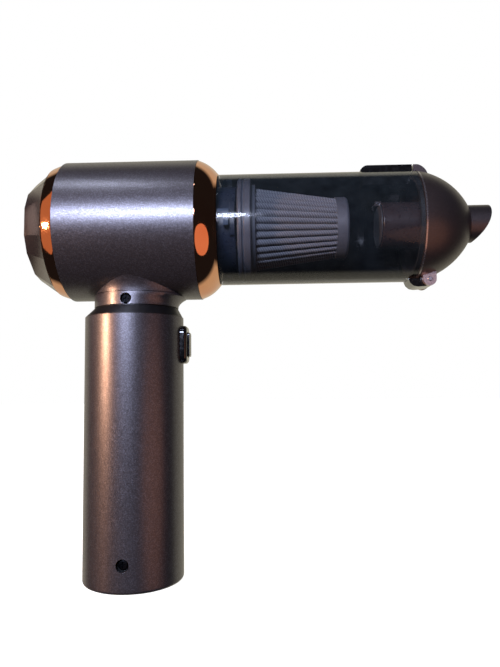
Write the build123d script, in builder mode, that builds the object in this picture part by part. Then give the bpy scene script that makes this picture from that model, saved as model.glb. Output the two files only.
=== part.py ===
from build123d import *
from math import cos, radians, sin, sqrt
import os

# Cordless pistol-grip car vacuum and blower, in millimetres.
# Origin: centre of the handle's end face. +X points to the nozzle, +Z runs up the handle.
# The head is a row of turned pieces on one axis, head_height above the handle's end.
# Sizes that follow another piece are given as a step or a margin from it.

# ---- driving dimensions: head ------------------------------------------------
body_radius = 32.2
body_wall = 1.8
body_back = -28.8
body_front = 31.2

ring_length = 5.6           # plated ring behind the body
ring_shoulder = 0.6         # step in from the body at both plated rings
ring_taper = 2.3            # plated ring's back, in from the body
cap_depth = 9.8             # faceted cap behind the ring
cap_taper = 7.3             # cap's face, in from the ring's back
cap_wall = 2.2
facet_pairs = 7
wide_facet_angle = 31.0
grille_slot_width = 1.8
foam_thickness = 5.0

bezel_length = 8.9          # plated cone in front of the body
bezel_margin = 0.86         # bezel's face beyond the cup's wall
bezel_wall = 1.8
sleeve_length = 3.0         # part of each plated ring that enters the body
sleeve_wall = 1.6

spigot_gap = 3.74           # between the cup's bore and the bayonet tube that it turns onto
spigot_wall = 1.8
spigot_reach = 8.2          # past the bezel's face
lug_height = 1.4
lug_length = 2.6
lug_angle = 40.0
bayonet_count = 3

# ---- driving dimensions: dust cup and filter -----------------------------------
cup_radius = 25.54
cup_wall = 1.8
cup_length = 89.1
cup_gap = 0.3               # face gap between the cup and its neighbours
rib_angle = 20.0            # moulded L rib that hooks behind a lug
rib_thickness = 2.3
filter_gap = 1.4            # spigot's end to the filter's seal
filter_seal_length = 5.4
filter_base_length = 1.9    # base ring past the seal
pleat_length = 36.6
pleat_count = 32
pleat_margin = 4.74         # pleats' base, in from the cup's bore
pleat_taper = 5.2
pleat_base_depth = 2.4
pleat_end_depth = 1.9
filter_wall = 0.8
end_cap_length = 5.6
end_cap_overhang = 0.6

# ---- driving dimensions: nose ---------------------------------------------------
dome_wall = 1.8
dome_length = 24.3
dome_end_radius = 9.7
dome_mid_length = 14.2      # where the dome's side is measured
dome_mid_step = 5.34        # and how far that is in from the cup's wall
nozzle_rise = 0.9           # nozzle axis above the head's axis
nozzle_radius = 8.7
nozzle_bore = 7.5
nozzle_reach = 10.3         # tip past the dome's end
nozzle_cut_depth = 7.4      # how far back the oblique mouth runs
nozzle_cut_mid = (1.7, -0.9)    # tip's setback and height half way down the mouth
duct_radius = 10.75
duct_wall = 1.5
duct_back = 15.8            # the duct's inner end behind the dome's seam
flap_thickness = 0.8
flap_pin_radius = 0.6

hinge_setback = 5.4         # pin ahead of the dome's seam
hinge_proud = 0.26          # pin below the cup's wall
hinge_pin_radius = 1.0
barrel_radius = 2.9
barrel_half_width = 5.0
ear_radius = 3.0
ear_width = 2.2

latch_length = 23.6
latch_half_width = 6.5
latch_rise = 2.26           # housing's top above the cup's wall
latch_ramp = 3.0
latch_depth = 8.8
latch_wall = 1.0
latch_travel = 1.0
latch_proud = 0.4
latch_spring_wire = 0.22
latch_spring_radius = 1.5
latch_spring_turns = 4

# ---- driving dimensions: fan and motor --------------------------------------------
motor_radius = 13.85
motor_length = 37.8
motor_front = 8.3
motor_can_wall = 1.2
end_bell_length = 5.0
shaft_radius = 1.15
bush_radius = 3.0
magnet_thickness = 2.0
air_gap = 0.7
armature_length = 15.0
armature_slots = 5
commutator_radius = 3.6
commutator_length = 5.0
motor_screw_spread = 8.0
impeller_margin = 9.2       # impeller's rim, in from the body's wall
impeller_eye = 9.5
impeller_height = 10.8
impeller_plate = 1.2
blade_count = 9
blade_thickness = 1.0
fan_plate = 1.6
fan_gap = 1.4
diffuser_vanes = 9
cradle_length = 24.0
cradle_wall = 2.0
damper_thickness = 2.2
damper_width = 3.0

# ---- driving dimensions: neck and handle -------------------------------------------
collar_step = 3.23          # collar, in from the handle's wall
collar_shift = 0.9          # collar's centre ahead of the handle's axis
collar_length = 4.3         # collar below the body's underside
ring_height = 4.5           # black cone between collar and handle
handle_length = 117.3
handle_radius = 22.43
handle_wall = 1.6
handle_edge = 1.4           # rounding of the handle's end
plug_radius = 12.0          # frame's plug inside the collar
plug_wall = 4.0
neck_screw_rise = 2.4       # screw above the collar's lower end
clamp_height = 10.2
neck_hole_radius = 2.45
handle_screw_height = 11.9
handle_hole_radius = 2.75
cover_margin = 5.43         # end cover, in from the handle's wall
frame_plate = 2.0
rail_thickness = 3.0
rail_margin = 10.43         # rails, in from the handle's wall
rail_half_width = 4.0
shelf_height = 23.0
cell_radius = 9.2
cell_length = 65.0
strap_thickness = 0.3

button_setback = 12.6       # button's centre below the handle's top
button_frame_length = 17.4
button_frame_half_width = 5.8
button_frame_proud = 2.4
button_length = 11.0
button_half_width = 3.1
button_proud = 1.1
button_travel = 1.0
board_thickness = 1.2
switch_height = 3.25
socket_height = 17.0
socket_width = 8.9
socket_thickness = 3.2
socket_depth = 7.3
light_height = 28.0
light_radius = 1.25

# ---- fits ---------------------------------------------------------------------------
seat = 0.05                 # assembled pieces on one body
running = 0.05              # pins and shafts in their holes
clear = 0.3                 # moving pieces beside fixed ones
screw_radius = 1.25
screw_head_radius = 2.2
screw_head_height = 1.5

# ---- sizes that follow -----------------------------------------------------------------
collar_drop = body_radius + collar_length
head_height = handle_length + ring_height + collar_drop
ring_back_radius = body_radius - ring_taper
cap_face_radius = ring_back_radius - cap_taper
bezel_front_radius = cup_radius + bezel_margin
spigot_radius = cup_radius - cup_wall - spigot_gap
pleat_base_radius = cup_radius - cup_wall - pleat_margin
pleat_end_radius = pleat_base_radius - pleat_taper
dome_mid_radius = cup_radius - dome_mid_step
hinge_drop = cup_radius + hinge_proud
latch_height = cup_radius + latch_rise
latch_floor = latch_height - latch_depth
impeller_radius = body_radius - impeller_margin
collar_radius = handle_radius - collar_step
cover_radius = handle_radius - cover_margin
rail_offset = handle_radius - rail_margin
button_drop = collar_drop + ring_height + button_setback
neck_screw_drop = collar_drop - neck_screw_rise

# ---- stations along the head ----------------------------------------------------------
body_bore = body_radius - body_wall
ring_back = body_back - ring_length
cap_back = ring_back - cap_depth
bezel_front = body_front + bezel_length
spigot_front = bezel_front + spigot_reach
cup_back = bezel_front + cup_gap
cup_front = cup_back + cup_length
cup_bore = cup_radius - cup_wall
seam = cup_front + cup_gap
dome_front = seam + dome_length
nozzle_tip = dome_front + nozzle_reach
filter_back = spigot_front + filter_gap
filter_base_front = filter_back + filter_seal_length + filter_base_length
pleat_front = filter_base_front + pleat_length
filter_front = pleat_front + end_cap_length
duct_end = seam - duct_back
pin_x = seam + hinge_setback
pin_z = head_height - hinge_drop
collar_bottom = head_height - collar_drop
handle_top = collar_bottom - ring_height
handle_bore = handle_radius - handle_wall
frame_radius = handle_bore - 2 * seat
button_height = head_height - button_drop

HEAD = Plane(origin=(0, 0, head_height), x_dir=(1, 0, 0), z_dir=(0, -1, 0))
HEAD_AXIS = Axis((0, 0, head_height), (1, 0, 0))


def across(x, rise=0.0, turn=0.0):
    """Plane square to the head's axis at x: local x is +Y, turned up towards +Z by turn degrees."""
    x_dir = (0, cos(radians(turn)), sin(radians(turn)))
    return Plane(origin=(x, 0, head_height + rise), x_dir=x_dir, z_dir=(1, 0, 0))


def beside(y, x=0.0, z=0.0):
    """Plane facing -Y at y, drawn in X and Z."""
    return Plane(origin=(x, y, z), x_dir=(1, 0, 0), z_dir=(0, -1, 0))


def facing_x(x, z):
    """Plane facing +X at x and z, for the handle's side fittings."""
    return Plane(origin=(x, 0, z), x_dir=(0, 1, 0), z_dir=(1, 0, 0))


def tube(start, end, outer, inner=0.0, rise=0.0):
    """Disc or tube on the head's axis from x = start to x = end."""
    with BuildPart() as piece:
        with BuildSketch(across(start, rise)):
            Circle(outer)
            if inner > 0:
                Circle(inner, mode=Mode.SUBTRACT)
        extrude(amount=end - start)
    return piece.part


def turned(*outline):
    """Solid turned about the head's axis from (x, radius) corners."""
    with BuildPart() as piece:
        with BuildSketch(HEAD):
            with BuildLine():
                Polyline(*outline, close=True)
            make_face()
        revolve(axis=HEAD_AXIS)
    return piece.part


def sector(start, end, outer, inner, angle, width):
    """Part of a tube, width degrees wide about angle (0 is +Y, 90 is up)."""
    reach = 2 * outer / cos(radians(width / 2))
    edges = [radians(angle - width / 2), radians(angle + width / 2)]
    corners = [(0, 0)] + [(reach * cos(a), reach * sin(a)) for a in edges]
    with BuildPart() as piece:
        with BuildSketch(across(start)):
            Circle(outer)
            Circle(inner, mode=Mode.SUBTRACT)
            with BuildSketch(mode=Mode.INTERSECT):
                with BuildLine():
                    Polyline(*corners, close=True)
                make_face()
        extrude(amount=end - start)
    return piece.part


def block(low, high):
    """Rectangular block between two opposite corners."""
    size = [b - a for a, b in zip(low, high)]
    with BuildPart() as piece:
        with Locations(tuple((a + b) / 2 for a, b in zip(low, high))):
            Box(*size)
    return piece.part


def post(bottom, top, outer, inner=0.0, x=0.0, y=0.0):
    """Upright disc or tube from z = bottom to z = top."""
    with BuildPart() as piece:
        with BuildSketch(Plane(origin=(x, y, bottom))):
            Circle(outer)
            if inner > 0:
                Circle(inner, mode=Mode.SUBTRACT)
        extrude(amount=top - bottom)
    return piece.part


def rod(start, end, radius, x, z):
    """Round bar along Y from y = start to y = end."""
    with BuildPart() as piece:
        with BuildSketch(beside(end, x, z)):
            Circle(radius)
        extrude(amount=end - start)
    return piece.part


def screw(length, radius=screw_radius, head_radius=screw_head_radius, head_height_=screw_head_height):
    """Pan-head screw with its seat at the origin, head up, cross slot in the head."""
    slot_width = head_radius * 0.32
    with BuildPart() as piece:
        with BuildSketch():
            Circle(head_radius)
        extrude(amount=head_height_)
        fillet(piece.edges().group_by(Axis.Z)[-1], head_radius * 0.3)
        with BuildSketch(Plane.XY.offset(head_height_)):
            Rectangle(head_radius * 1.3, slot_width)
            Rectangle(slot_width, head_radius * 1.3)
        extrude(amount=-head_height_ * 0.55, mode=Mode.SUBTRACT)
        with BuildSketch():
            Circle(radius)
        extrude(amount=-length)
        chamfer(piece.edges().group_by(Axis.Z)[0], radius * 0.4)
    return piece.part


# ======================= body ========================================================
neck_screw_spots = [(sx * 5.0, sy * 13.6) for sx in (-1, 1) for sy in (-1, 1)]
wire_hole_radius = 8.0

with BuildPart() as body_shell:
    add(tube(body_back, body_front, body_radius, body_bore))
    with BuildSketch(Plane.XY.offset(head_height - body_radius - 1)):
        Circle(wire_hole_radius)
        with Locations(*neck_screw_spots):
            Circle(screw_radius + seat)
    extrude(amount=body_radius / 2, mode=Mode.SUBTRACT)

with BuildPart() as rear_ring:
    add(turned(
        (body_back, body_bore - sleeve_wall - seat),
        (body_back, body_radius - ring_shoulder),
        (body_back - ring_length * 0.2, body_radius - ring_shoulder * 1.6),
        (ring_back, ring_back_radius),
        (ring_back, body_bore - sleeve_wall - seat),
    ))
    add(tube(body_back, body_back + sleeve_length, body_bore - seat, body_bore - sleeve_wall - seat))

# The cap is a cone cut into flats: wide and narrow ones by turns, one wide flat facing -Y.
cap_front_radius = ring_back_radius - 0.3
cap_sleeve = body_bore - sleeve_wall - 2 * seat
narrow_facet_angle = 360 / facet_pairs - wide_facet_angle
facet_edges = []
for pair in range(facet_pairs):
    centre = 180 + pair * 360 / facet_pairs
    facet_edges += [centre - wide_facet_angle / 2, centre + wide_facet_angle / 2]
with BuildPart() as rear_cap:
    for station, radius in ((cap_back, cap_face_radius), (ring_back, cap_front_radius)):
        with BuildSketch(across(station)):
            with BuildLine():
                Polyline(*[(radius * cos(radians(a)), radius * sin(radians(a))) for a in facet_edges],
                         close=True)
            make_face()
    loft(ruled=True)
    add(turned(
        (cap_back + cap_wall, 0),
        (cap_back + cap_wall, cap_face_radius - cap_wall),
        (ring_back, cap_front_radius - cap_wall - 1.0),
        (ring_back + 0.1, 0),
    ), mode=Mode.SUBTRACT)
    add(tube(ring_back, ring_back + sleeve_length, cap_sleeve, cap_front_radius - cap_wall - 1.0))
    with BuildSketch(across(cap_back)):
        with PolarLocations(cap_face_radius * 0.37, 10):
            SlotOverall(cap_face_radius * 0.23, grille_slot_width)
        with PolarLocations(cap_face_radius * 0.69, 20):
            SlotOverall(cap_face_radius * 0.26, grille_slot_width)
    extrude(amount=cap_wall, mode=Mode.SUBTRACT)

with BuildPart() as exhaust_foam:
    foam_start = cap_back + cap_wall + seat
    add(tube(foam_start, foam_start + foam_thickness, cap_face_radius - cap_wall - seat))

# ======================= bezel and bayonet ================================================
seal_groove = (cup_radius - 1.9, cup_radius - 0.4, 1.2)     # inner and outer radius, depth
with BuildPart() as front_bezel:
    with BuildSketch(HEAD):
        with BuildLine():
            nose = (bezel_front - 0.6, bezel_front_radius)
            shoulder = (body_front + 1.2, body_radius - ring_shoulder)
            Polyline((bezel_front, spigot_radius + seat), (bezel_front, bezel_front_radius - 0.6), nose)
            ThreePointArc(nose, (body_front + bezel_length * 0.6, bezel_front_radius + 2.9), shoulder)
            Polyline(
                shoulder, (body_front, body_radius - 0.2), (body_front, body_bore - seat),
                (body_front - sleeve_length, body_bore - seat),
                (body_front - sleeve_length, body_bore - sleeve_wall),
                (body_front + 0.6, body_bore - sleeve_wall),
                (bezel_front - bezel_wall * 1.4, bezel_front_radius - bezel_wall - 0.6),
                (bezel_front - bezel_wall * 1.4, spigot_radius + seat), (bezel_front, spigot_radius + seat),
            )
        make_face()
    revolve(axis=HEAD_AXIS)
    add(tube(bezel_front - seal_groove[2], bezel_front, seal_groove[1], seal_groove[0]), mode=Mode.SUBTRACT)

with BuildPart() as cup_seal:
    add(tube(bezel_front - seal_groove[2] + seat, bezel_front + cup_gap / 2,
             seal_groove[1] - seat, seal_groove[0] + seat))

spigot_flange = body_front - sleeve_length - seat
lug_back = spigot_front - lug_length
with BuildPart() as bayonet_spigot:
    add(tube(spigot_flange - 1.4, spigot_front, spigot_radius, spigot_radius - spigot_wall))
    add(tube(spigot_flange - 1.4, spigot_flange, body_bore - seat, spigot_radius - spigot_wall))
    for turn in range(bayonet_count):
        add(sector(lug_back, spigot_front, spigot_radius + lug_height, spigot_radius - 0.5,
                   180 + turn * 360 / bayonet_count, lug_angle))
    chamfer(bayonet_spigot.edges().filter_by(GeomType.CIRCLE).sort_by(Axis.X)[-1], 0.3)

# ======================= fan =================================================================
fan_front = spigot_flange - 1.4 - seat
fan_back = motor_front + 0.2
impeller_front = fan_front - fan_plate - fan_gap
impeller_back = impeller_front - impeller_height
fan_wall = 1.5
with BuildPart() as fan_cover:
    add(tube(fan_front - fan_plate, fan_front, body_bore - seat, impeller_eye))
    add(tube(fan_back, fan_front, body_bore - seat, body_bore - seat - fan_wall))
    add(turned(
        (fan_front - fan_plate, impeller_eye), (fan_front, impeller_eye),
        (fan_front + 1.0, impeller_eye + 0.6), (fan_front + 1.0, impeller_eye + 1.4),
        (fan_front - fan_plate, impeller_eye + 2.2),
    ))

diffuser_thickness = 2.0
vane_tip = body_bore - fan_wall - 3 * seat
with BuildPart() as diffuser:
    add(tube(fan_back, fan_back + diffuser_thickness, impeller_radius + 1.5, bush_radius + 1.0))
    for vane in range(diffuser_vanes):
        with BuildSketch(across(fan_back, turn=vane * 360 / diffuser_vanes)):
            with Locations((impeller_radius / 2 + vane_tip / 2 + 0.4, 0)):
                Rectangle(vane_tip - impeller_radius - 0.8, 1.2)
        extrude(amount=diffuser_thickness * 2)
    with BuildSketch(across(fan_back)):
        with Locations((motor_screw_spread, 0), (-motor_screw_spread, 0)):
            Circle(screw_radius + seat)
    extrude(amount=diffuser_thickness, mode=Mode.SUBTRACT)

hub_radius = 3.4
with BuildPart() as impeller:
    add(tube(impeller_back, impeller_back + impeller_plate, impeller_radius, shaft_radius + 0.02))
    add(tube(impeller_front - impeller_plate, impeller_front, impeller_radius, impeller_eye))
    add(tube(impeller_back, impeller_front - impeller_plate, hub_radius, shaft_radius + 0.02))
    for blade in range(blade_count):
        with BuildSketch(across(impeller_back, turn=blade * 360 / blade_count)):
            with BuildLine():
                ThreePointArc((impeller_eye - 2.5, 0), (impeller_radius * 0.66, 4.0),
                              (impeller_radius * 0.9, impeller_radius * 0.4))
            trace(line_width=blade_thickness)
        extrude(amount=impeller_height - impeller_plate / 2)

# ======================= motor =================================================================
motor_back = motor_front - motor_length
can_back = motor_back + end_bell_length
can_bore = motor_radius - motor_can_wall
magnet_bore = can_bore - magnet_thickness
armature_radius = magnet_bore - air_gap
commutator_back = can_back + 0.6
armature_back = commutator_back + commutator_length + 2.0
armature_front = armature_back + armature_length
with BuildPart() as motor_can:
    add(tube(can_back, motor_front, motor_radius, can_bore))
    add(tube(motor_front - motor_can_wall, motor_front, motor_radius, bush_radius + seat))
    with BuildSketch(across(motor_front - motor_can_wall)):
        with Locations((motor_screw_spread, 0), (-motor_screw_spread, 0)):
            Circle(screw_radius + seat)
    extrude(amount=motor_can_wall, mode=Mode.SUBTRACT)

with BuildPart() as motor_end_bell:
    add(tube(motor_back, can_back, motor_radius, bush_radius + seat))
    add(tube(can_back, can_back + 2.0, can_bore - seat, can_bore - 2.0))
    add(tube(motor_back + 2.0, can_back, motor_radius - 2.5, bush_radius + seat), mode=Mode.SUBTRACT)

bush_length = 2.6
with BuildPart() as motor_bushes:
    add(tube(motor_back, motor_back + bush_length, bush_radius, shaft_radius + running))
    add(tube(motor_front - bush_length, motor_front, bush_radius, shaft_radius + running))

with BuildPart() as motor_magnets:
    for angle in (0, 180):
        add(sector(armature_back - 1, armature_front + 1, can_bore - seat, magnet_bore, angle, 130))

with BuildPart() as motor_brushes:
    brush_front = commutator_back + 3.8
    for side in (-1, 1):
        spot = sorted((side * (commutator_radius - 0.5), side * (can_bore - 2.5)))
        add(block((commutator_back + 0.8, spot[0], head_height - 1.5),
                  (brush_front, spot[1], head_height + 1.5)))
    add(tube(commutator_back, brush_front + 0.5, commutator_radius + running), mode=Mode.SUBTRACT)

with BuildPart() as motor_shaft:
    add(tube(motor_back + 0.4, impeller_front - impeller_plate - 0.5, shaft_radius))
    chamfer(motor_shaft.edges().filter_by(GeomType.CIRCLE), 0.25)

with BuildPart() as armature_core:
    add(tube(armature_back, armature_front, armature_radius, shaft_radius + 0.02))
    with BuildSketch(across(armature_back)):
        with PolarLocations(armature_radius * 0.66, armature_slots):
            Circle(armature_radius * 0.22)
        with PolarLocations(armature_radius * 0.9, armature_slots):
            Rectangle(armature_radius * 0.4, armature_radius * 0.12)
    extrude(amount=armature_length, mode=Mode.SUBTRACT)

with BuildPart() as armature_windings:
    coil_inner = shaft_radius + 1.4
    coil_outer = armature_radius * 0.86
    for start, end in ((armature_back - 1.7, armature_back - seat),
                       (armature_front + seat, armature_front + 1.8)):
        add(tube(start, end, coil_outer, coil_inner))
    with BuildSketch(across(armature_back - 0.5)):
        with PolarLocations(armature_radius * 0.66, armature_slots):
            Circle(armature_radius * 0.22 - seat)
    extrude(amount=armature_length + 1.0)

with BuildPart() as commutator:
    add(tube(commutator_back, commutator_back + commutator_length, commutator_radius, shaft_radius + 0.02))
    with BuildSketch(across(commutator_back)):
        with PolarLocations(commutator_radius, armature_slots):
            Rectangle(0.9, 0.35)
    extrude(amount=commutator_length, mode=Mode.SUBTRACT)

with BuildPart() as motor_screws:
    for side in (-1, 1):
        seat_plane = across(fan_back + diffuser_thickness)
        add(seat_plane.location * Pos(side * motor_screw_spread, 0, 0) * screw(4.5))

cradle_inner = motor_radius + damper_thickness + seat
cradle_outer = cradle_inner + cradle_wall
cradle_back = can_back + 3.0
with BuildPart() as motor_cradle:
    add(tube(cradle_back, cradle_back + cradle_length, cradle_outer, cradle_inner))
    for spoke in range(3):
        with BuildSketch(across(cradle_back, turn=90 + spoke * 120)):
            with Locations(((cradle_inner + 0.5 + body_bore - seat) / 2, 0)):
                Rectangle(body_bore - seat - cradle_inner - 0.5, 2.4)
        extrude(amount=cradle_length * 0.6)
    add(tube(cradle_back, cradle_back + cradle_length, body_bore - seat), mode=Mode.INTERSECT)

with BuildPart() as motor_rings:
    for start in (cradle_back + 1, cradle_back + cradle_length - damper_width - 1):
        add(tube(start, start + damper_width, motor_radius + damper_thickness, motor_radius + seat))

# ======================= neck =====================================================================
clamp_half = (7.8, 17.0)
clamp_top = head_height - body_radius + clamp_height
neck_bore = plug_radius + seat
with BuildPart() as neck_clamp:
    add(block((-clamp_half[0], -clamp_half[1], head_height - body_radius), (*clamp_half, clamp_top)))
    add(tube(-clamp_half[0], clamp_half[0], body_bore - seat), mode=Mode.INTERSECT)
    with BuildSketch(Plane.XY.offset(head_height - body_radius)):
        Circle(wire_hole_radius - 1.0)
        with Locations(*neck_screw_spots):
            Circle(screw_radius + seat)
    extrude(amount=body_radius, mode=Mode.SUBTRACT)

with BuildPart() as neck_collar:
    add(post(collar_bottom, head_height - body_radius / 2, collar_radius, x=collar_shift))
    add(post(collar_bottom, head_height - body_radius / 2, neck_bore), mode=Mode.SUBTRACT)
    add(tube(-collar_radius - 1, collar_radius + 1, body_radius + seat), mode=Mode.SUBTRACT)
    with BuildSketch(Plane.XY.offset(collar_bottom + 2.5)):
        with Locations(*neck_screw_spots):
            Circle(screw_radius + seat)
    extrude(amount=body_radius / 2, mode=Mode.SUBTRACT)
    with BuildSketch(beside(-collar_radius, 0, head_height - neck_screw_drop)):
        Circle(neck_hole_radius)
    extrude(amount=-3.0, mode=Mode.SUBTRACT)
    with BuildSketch(beside(-collar_radius, 0, head_height - neck_screw_drop)):
        Circle(screw_radius + seat)
    extrude(amount=-collar_radius / 2, mode=Mode.SUBTRACT)

neck_screw_length = clamp_top - (collar_bottom + 2.5) - 1.0
with BuildPart() as collar_screws:
    for spot in neck_screw_spots:
        add(Pos(*spot, clamp_top + seat) * screw(neck_screw_length))

with BuildPart() as neck_ring:
    with BuildSketch(Plane.XY.offset(handle_top)):
        Circle(handle_radius - 0.25)
    with BuildSketch(Plane(origin=(collar_shift, 0, collar_bottom))):
        Circle(collar_radius)
    loft()
    add(post(handle_top - 1.5, handle_top, handle_bore - seat))
    add(post(handle_top - 2, collar_bottom, neck_bore), mode=Mode.SUBTRACT)

# ======================= handle ===================================================================
frame_hole_z = button_frame_length / 2 - 0.9
with BuildPart() as handle_tube:
    add(post(0, handle_top, handle_radius))
    fillet(handle_tube.edges().group_by(Axis.Z)[0], handle_edge)
    add(post(handle_wall, handle_top, handle_bore), mode=Mode.SUBTRACT)
    add(post(0, handle_wall, cover_radius), mode=Mode.SUBTRACT)
    with BuildSketch(facing_x(0, button_height)):
        Rectangle(2 * (button_frame_half_width - 0.9), 2 * frame_hole_z)
    extrude(amount=handle_radius + 1, mode=Mode.SUBTRACT)
    with BuildSketch(facing_x(0, socket_height)):
        SlotOverall(socket_width + 2 * seat, socket_thickness + 2 * seat)
    extrude(amount=-handle_radius - 1, mode=Mode.SUBTRACT)
    with BuildSketch(facing_x(0, light_height)):
        Circle(light_radius + seat)
    extrude(amount=-handle_radius - 1, mode=Mode.SUBTRACT)
    with BuildSketch(beside(0, 0, handle_screw_height)):
        Circle(handle_hole_radius)
    extrude(amount=handle_radius + 1, mode=Mode.SUBTRACT)

cover_flange = 1.4
with BuildPart() as handle_end_cover:
    add(post(0, handle_wall, cover_radius - seat))
    add(post(handle_wall + seat, handle_wall + cover_flange, frame_radius - 1.0))
    add(post(handle_wall - 0.1, handle_wall + 0.2, cover_radius - seat))

# The frame slides into the handle from above and carries everything inside it.
frame_bottom = handle_wall + cover_flange + seat
cells_bottom = shelf_height + frame_plate + strap_thickness
cells_top = cells_bottom + cell_length
button_deck = button_height - button_frame_length / 2 - frame_plate - 0.6
plug_deck = handle_top - 1.5 - seat - frame_plate
plug_top = head_height - body_radius - clear
boss_face = sqrt(frame_radius ** 2 - 4.0 ** 2) - 0.6
with BuildPart() as handle_frame:
    for level in (frame_bottom, shelf_height, button_deck, plug_deck):
        add(post(level, level + frame_plate, frame_radius))
    for side in (-1, 1):
        rail = sorted((side * rail_offset, side * (rail_offset + rail_thickness)))
        add(block((rail[0], -rail_half_width, frame_bottom), (rail[1], rail_half_width, plug_deck + 1)))
    add(block((-4.0, -boss_face, frame_bottom), (4.0, -boss_face + 8.0, handle_screw_height + 4.0)))
    add(post(plug_deck, plug_top, plug_radius, plug_radius - plug_wall))
    add(post(button_deck - 1, plug_top, plug_radius - plug_wall), mode=Mode.SUBTRACT)
    add(rod(-boss_face, -boss_face + 7.0, screw_radius + seat, 0, handle_screw_height), mode=Mode.SUBTRACT)
    add(rod(-plug_radius, -1, screw_radius + seat, 0, head_height - neck_screw_drop), mode=Mode.SUBTRACT)
    add(block((-handle_radius, -socket_width / 2 - seat, socket_height - socket_thickness / 2 - seat),
              (-handle_radius + socket_depth + 1, socket_width / 2 + seat,
               socket_height + socket_thickness / 2 + seat)), mode=Mode.SUBTRACT)

with BuildPart() as neck_screw:
    neck_seat = Plane(origin=(0, -collar_radius + 3.0 - seat, head_height - neck_screw_drop),
                      x_dir=(1, 0, 0), z_dir=(0, -1, 0))
    add(neck_seat.location * screw(collar_radius - 3.0 - plug_radius + plug_wall - 0.5))

with BuildPart() as handle_screw:
    foot_seat = Plane(origin=(0, -boss_face - seat, handle_screw_height),
                      x_dir=(1, 0, 0), z_dir=(0, -1, 0))
    add(foot_seat.location * screw(6.0, head_height_=1.2))

with BuildPart() as battery_cells:
    for side in (-1, 1):
        add(post(cells_bottom, cells_top, cell_radius, y=side * (cell_radius + 0.15)))
    fillet(battery_cells.edges(), 0.8)

with BuildPart() as cell_straps:
    for level in (cells_bottom - strap_thickness, cells_top):
        add(block((-3.5, -cell_radius - 4, level), (3.5, cell_radius + 4, level + strap_thickness)))

board_face = rail_offset + rail_thickness + seat
board_low = button_deck + frame_plate + 0.3
board_high = plug_deck - 0.3
switch_face = board_face + board_thickness + switch_height
with BuildPart() as control_board:
    add(block((board_face, -9.0, board_low), (board_face + board_thickness, 9.0, board_high)))
    for row in range(3):
        chip_z = board_low + 2.0 + row * 4.0
        add(block((board_face - 1.2, 4.6, chip_z), (board_face, 8.2, chip_z + 2.8)))

with BuildPart() as power_switch:
    add(block((board_face + board_thickness + seat, -3.0, button_height - 3.0),
              (switch_face, 3.0, button_height + 3.0)))
    with BuildSketch(facing_x(switch_face, button_height)):
        Circle(1.3)
    extrude(amount=-1.8, mode=Mode.SUBTRACT)

frame_face = handle_radius + button_frame_proud
button_face = frame_face + button_proud
button_back = switch_face + button_travel + clear
with BuildPart() as button_frame:
    add(block((handle_bore - 4, -button_frame_half_width, button_height - button_frame_length / 2),
              (frame_face, button_frame_half_width, button_height + button_frame_length / 2)))
    fillet(button_frame.edges().filter_by(Axis.X), 2.2)
    chamfer(button_frame.faces().sort_by(Axis.X)[-1].edges(), 1.0)
    add(post(button_height - button_frame_length, button_height + button_frame_length,
             handle_radius + seat), mode=Mode.SUBTRACT)
    add(block((handle_bore - 3.2, -button_frame_half_width + 1.0, button_height - frame_hole_z + seat),
              (handle_radius + 1, button_frame_half_width - 1.0, button_height + frame_hole_z - seat)))
    with BuildSketch(facing_x(handle_bore - 6, button_height)):
        RectangleRounded(2 * (button_half_width + clear), button_length + 2 * clear, 1.2)
    extrude(amount=20, mode=Mode.SUBTRACT)

with BuildPart() as power_button:
    with BuildSketch(facing_x(button_back, button_height)):
        RectangleRounded(2 * button_half_width, button_length, 1.0)
    extrude(amount=button_face - button_back)
    fillet(power_button.faces().sort_by(Axis.X)[-1].edges(), 0.6)
    with BuildSketch(facing_x(button_back - 1.8, button_height)):
        Circle(1.1)
    extrude(amount=2.0)

with BuildPart() as charge_socket:
    with BuildSketch(facing_x(-handle_radius + 0.5, socket_height)):
        SlotOverall(socket_width, socket_thickness)
        SlotOverall(socket_width - 0.8, socket_thickness - 0.8, mode=Mode.SUBTRACT)
    extrude(amount=socket_depth)
    with BuildSketch(facing_x(-handle_radius + 0.5 + socket_depth - 1.0, socket_height)):
        SlotOverall(socket_width, socket_thickness)
    extrude(amount=1.0)
    with BuildSketch(facing_x(-handle_radius + 1.5, socket_height)):
        Rectangle(socket_width * 0.72, 0.7)
    extrude(amount=socket_depth - 1.5)

with BuildPart() as charge_light:
    with BuildSketch(facing_x(-handle_radius + 0.1, light_height)):
        Circle(light_radius)
    extrude(amount=handle_wall + 1.6)

# Two leads climb from the board through the neck and run back to the motor's rear.
lead_radius = 0.8
with BuildPart() as motor_leads:
    for side in (-1, 1):
        with BuildLine() as route:
            FilletPolyline(
                (rail_offset - 2.0, side * 5.4, board_low + 4.0),
                (3.0, side * 3.4, board_low + 8.0),
                (3.0, side * 3.4, head_height - 20.0),
                (motor_back - 3.0, side * 3.4, head_height - 20.0),
                (motor_back - 3.0, side * 6.5, head_height - 5.5),
                (motor_back - seat, side * 6.5, head_height - 5.5),
                radius=1.4,
            )
        with BuildSketch(Plane(origin=route.line @ 0, z_dir=route.line % 0)):
            Circle(lead_radius)
        sweep(path=route.line)

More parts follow.
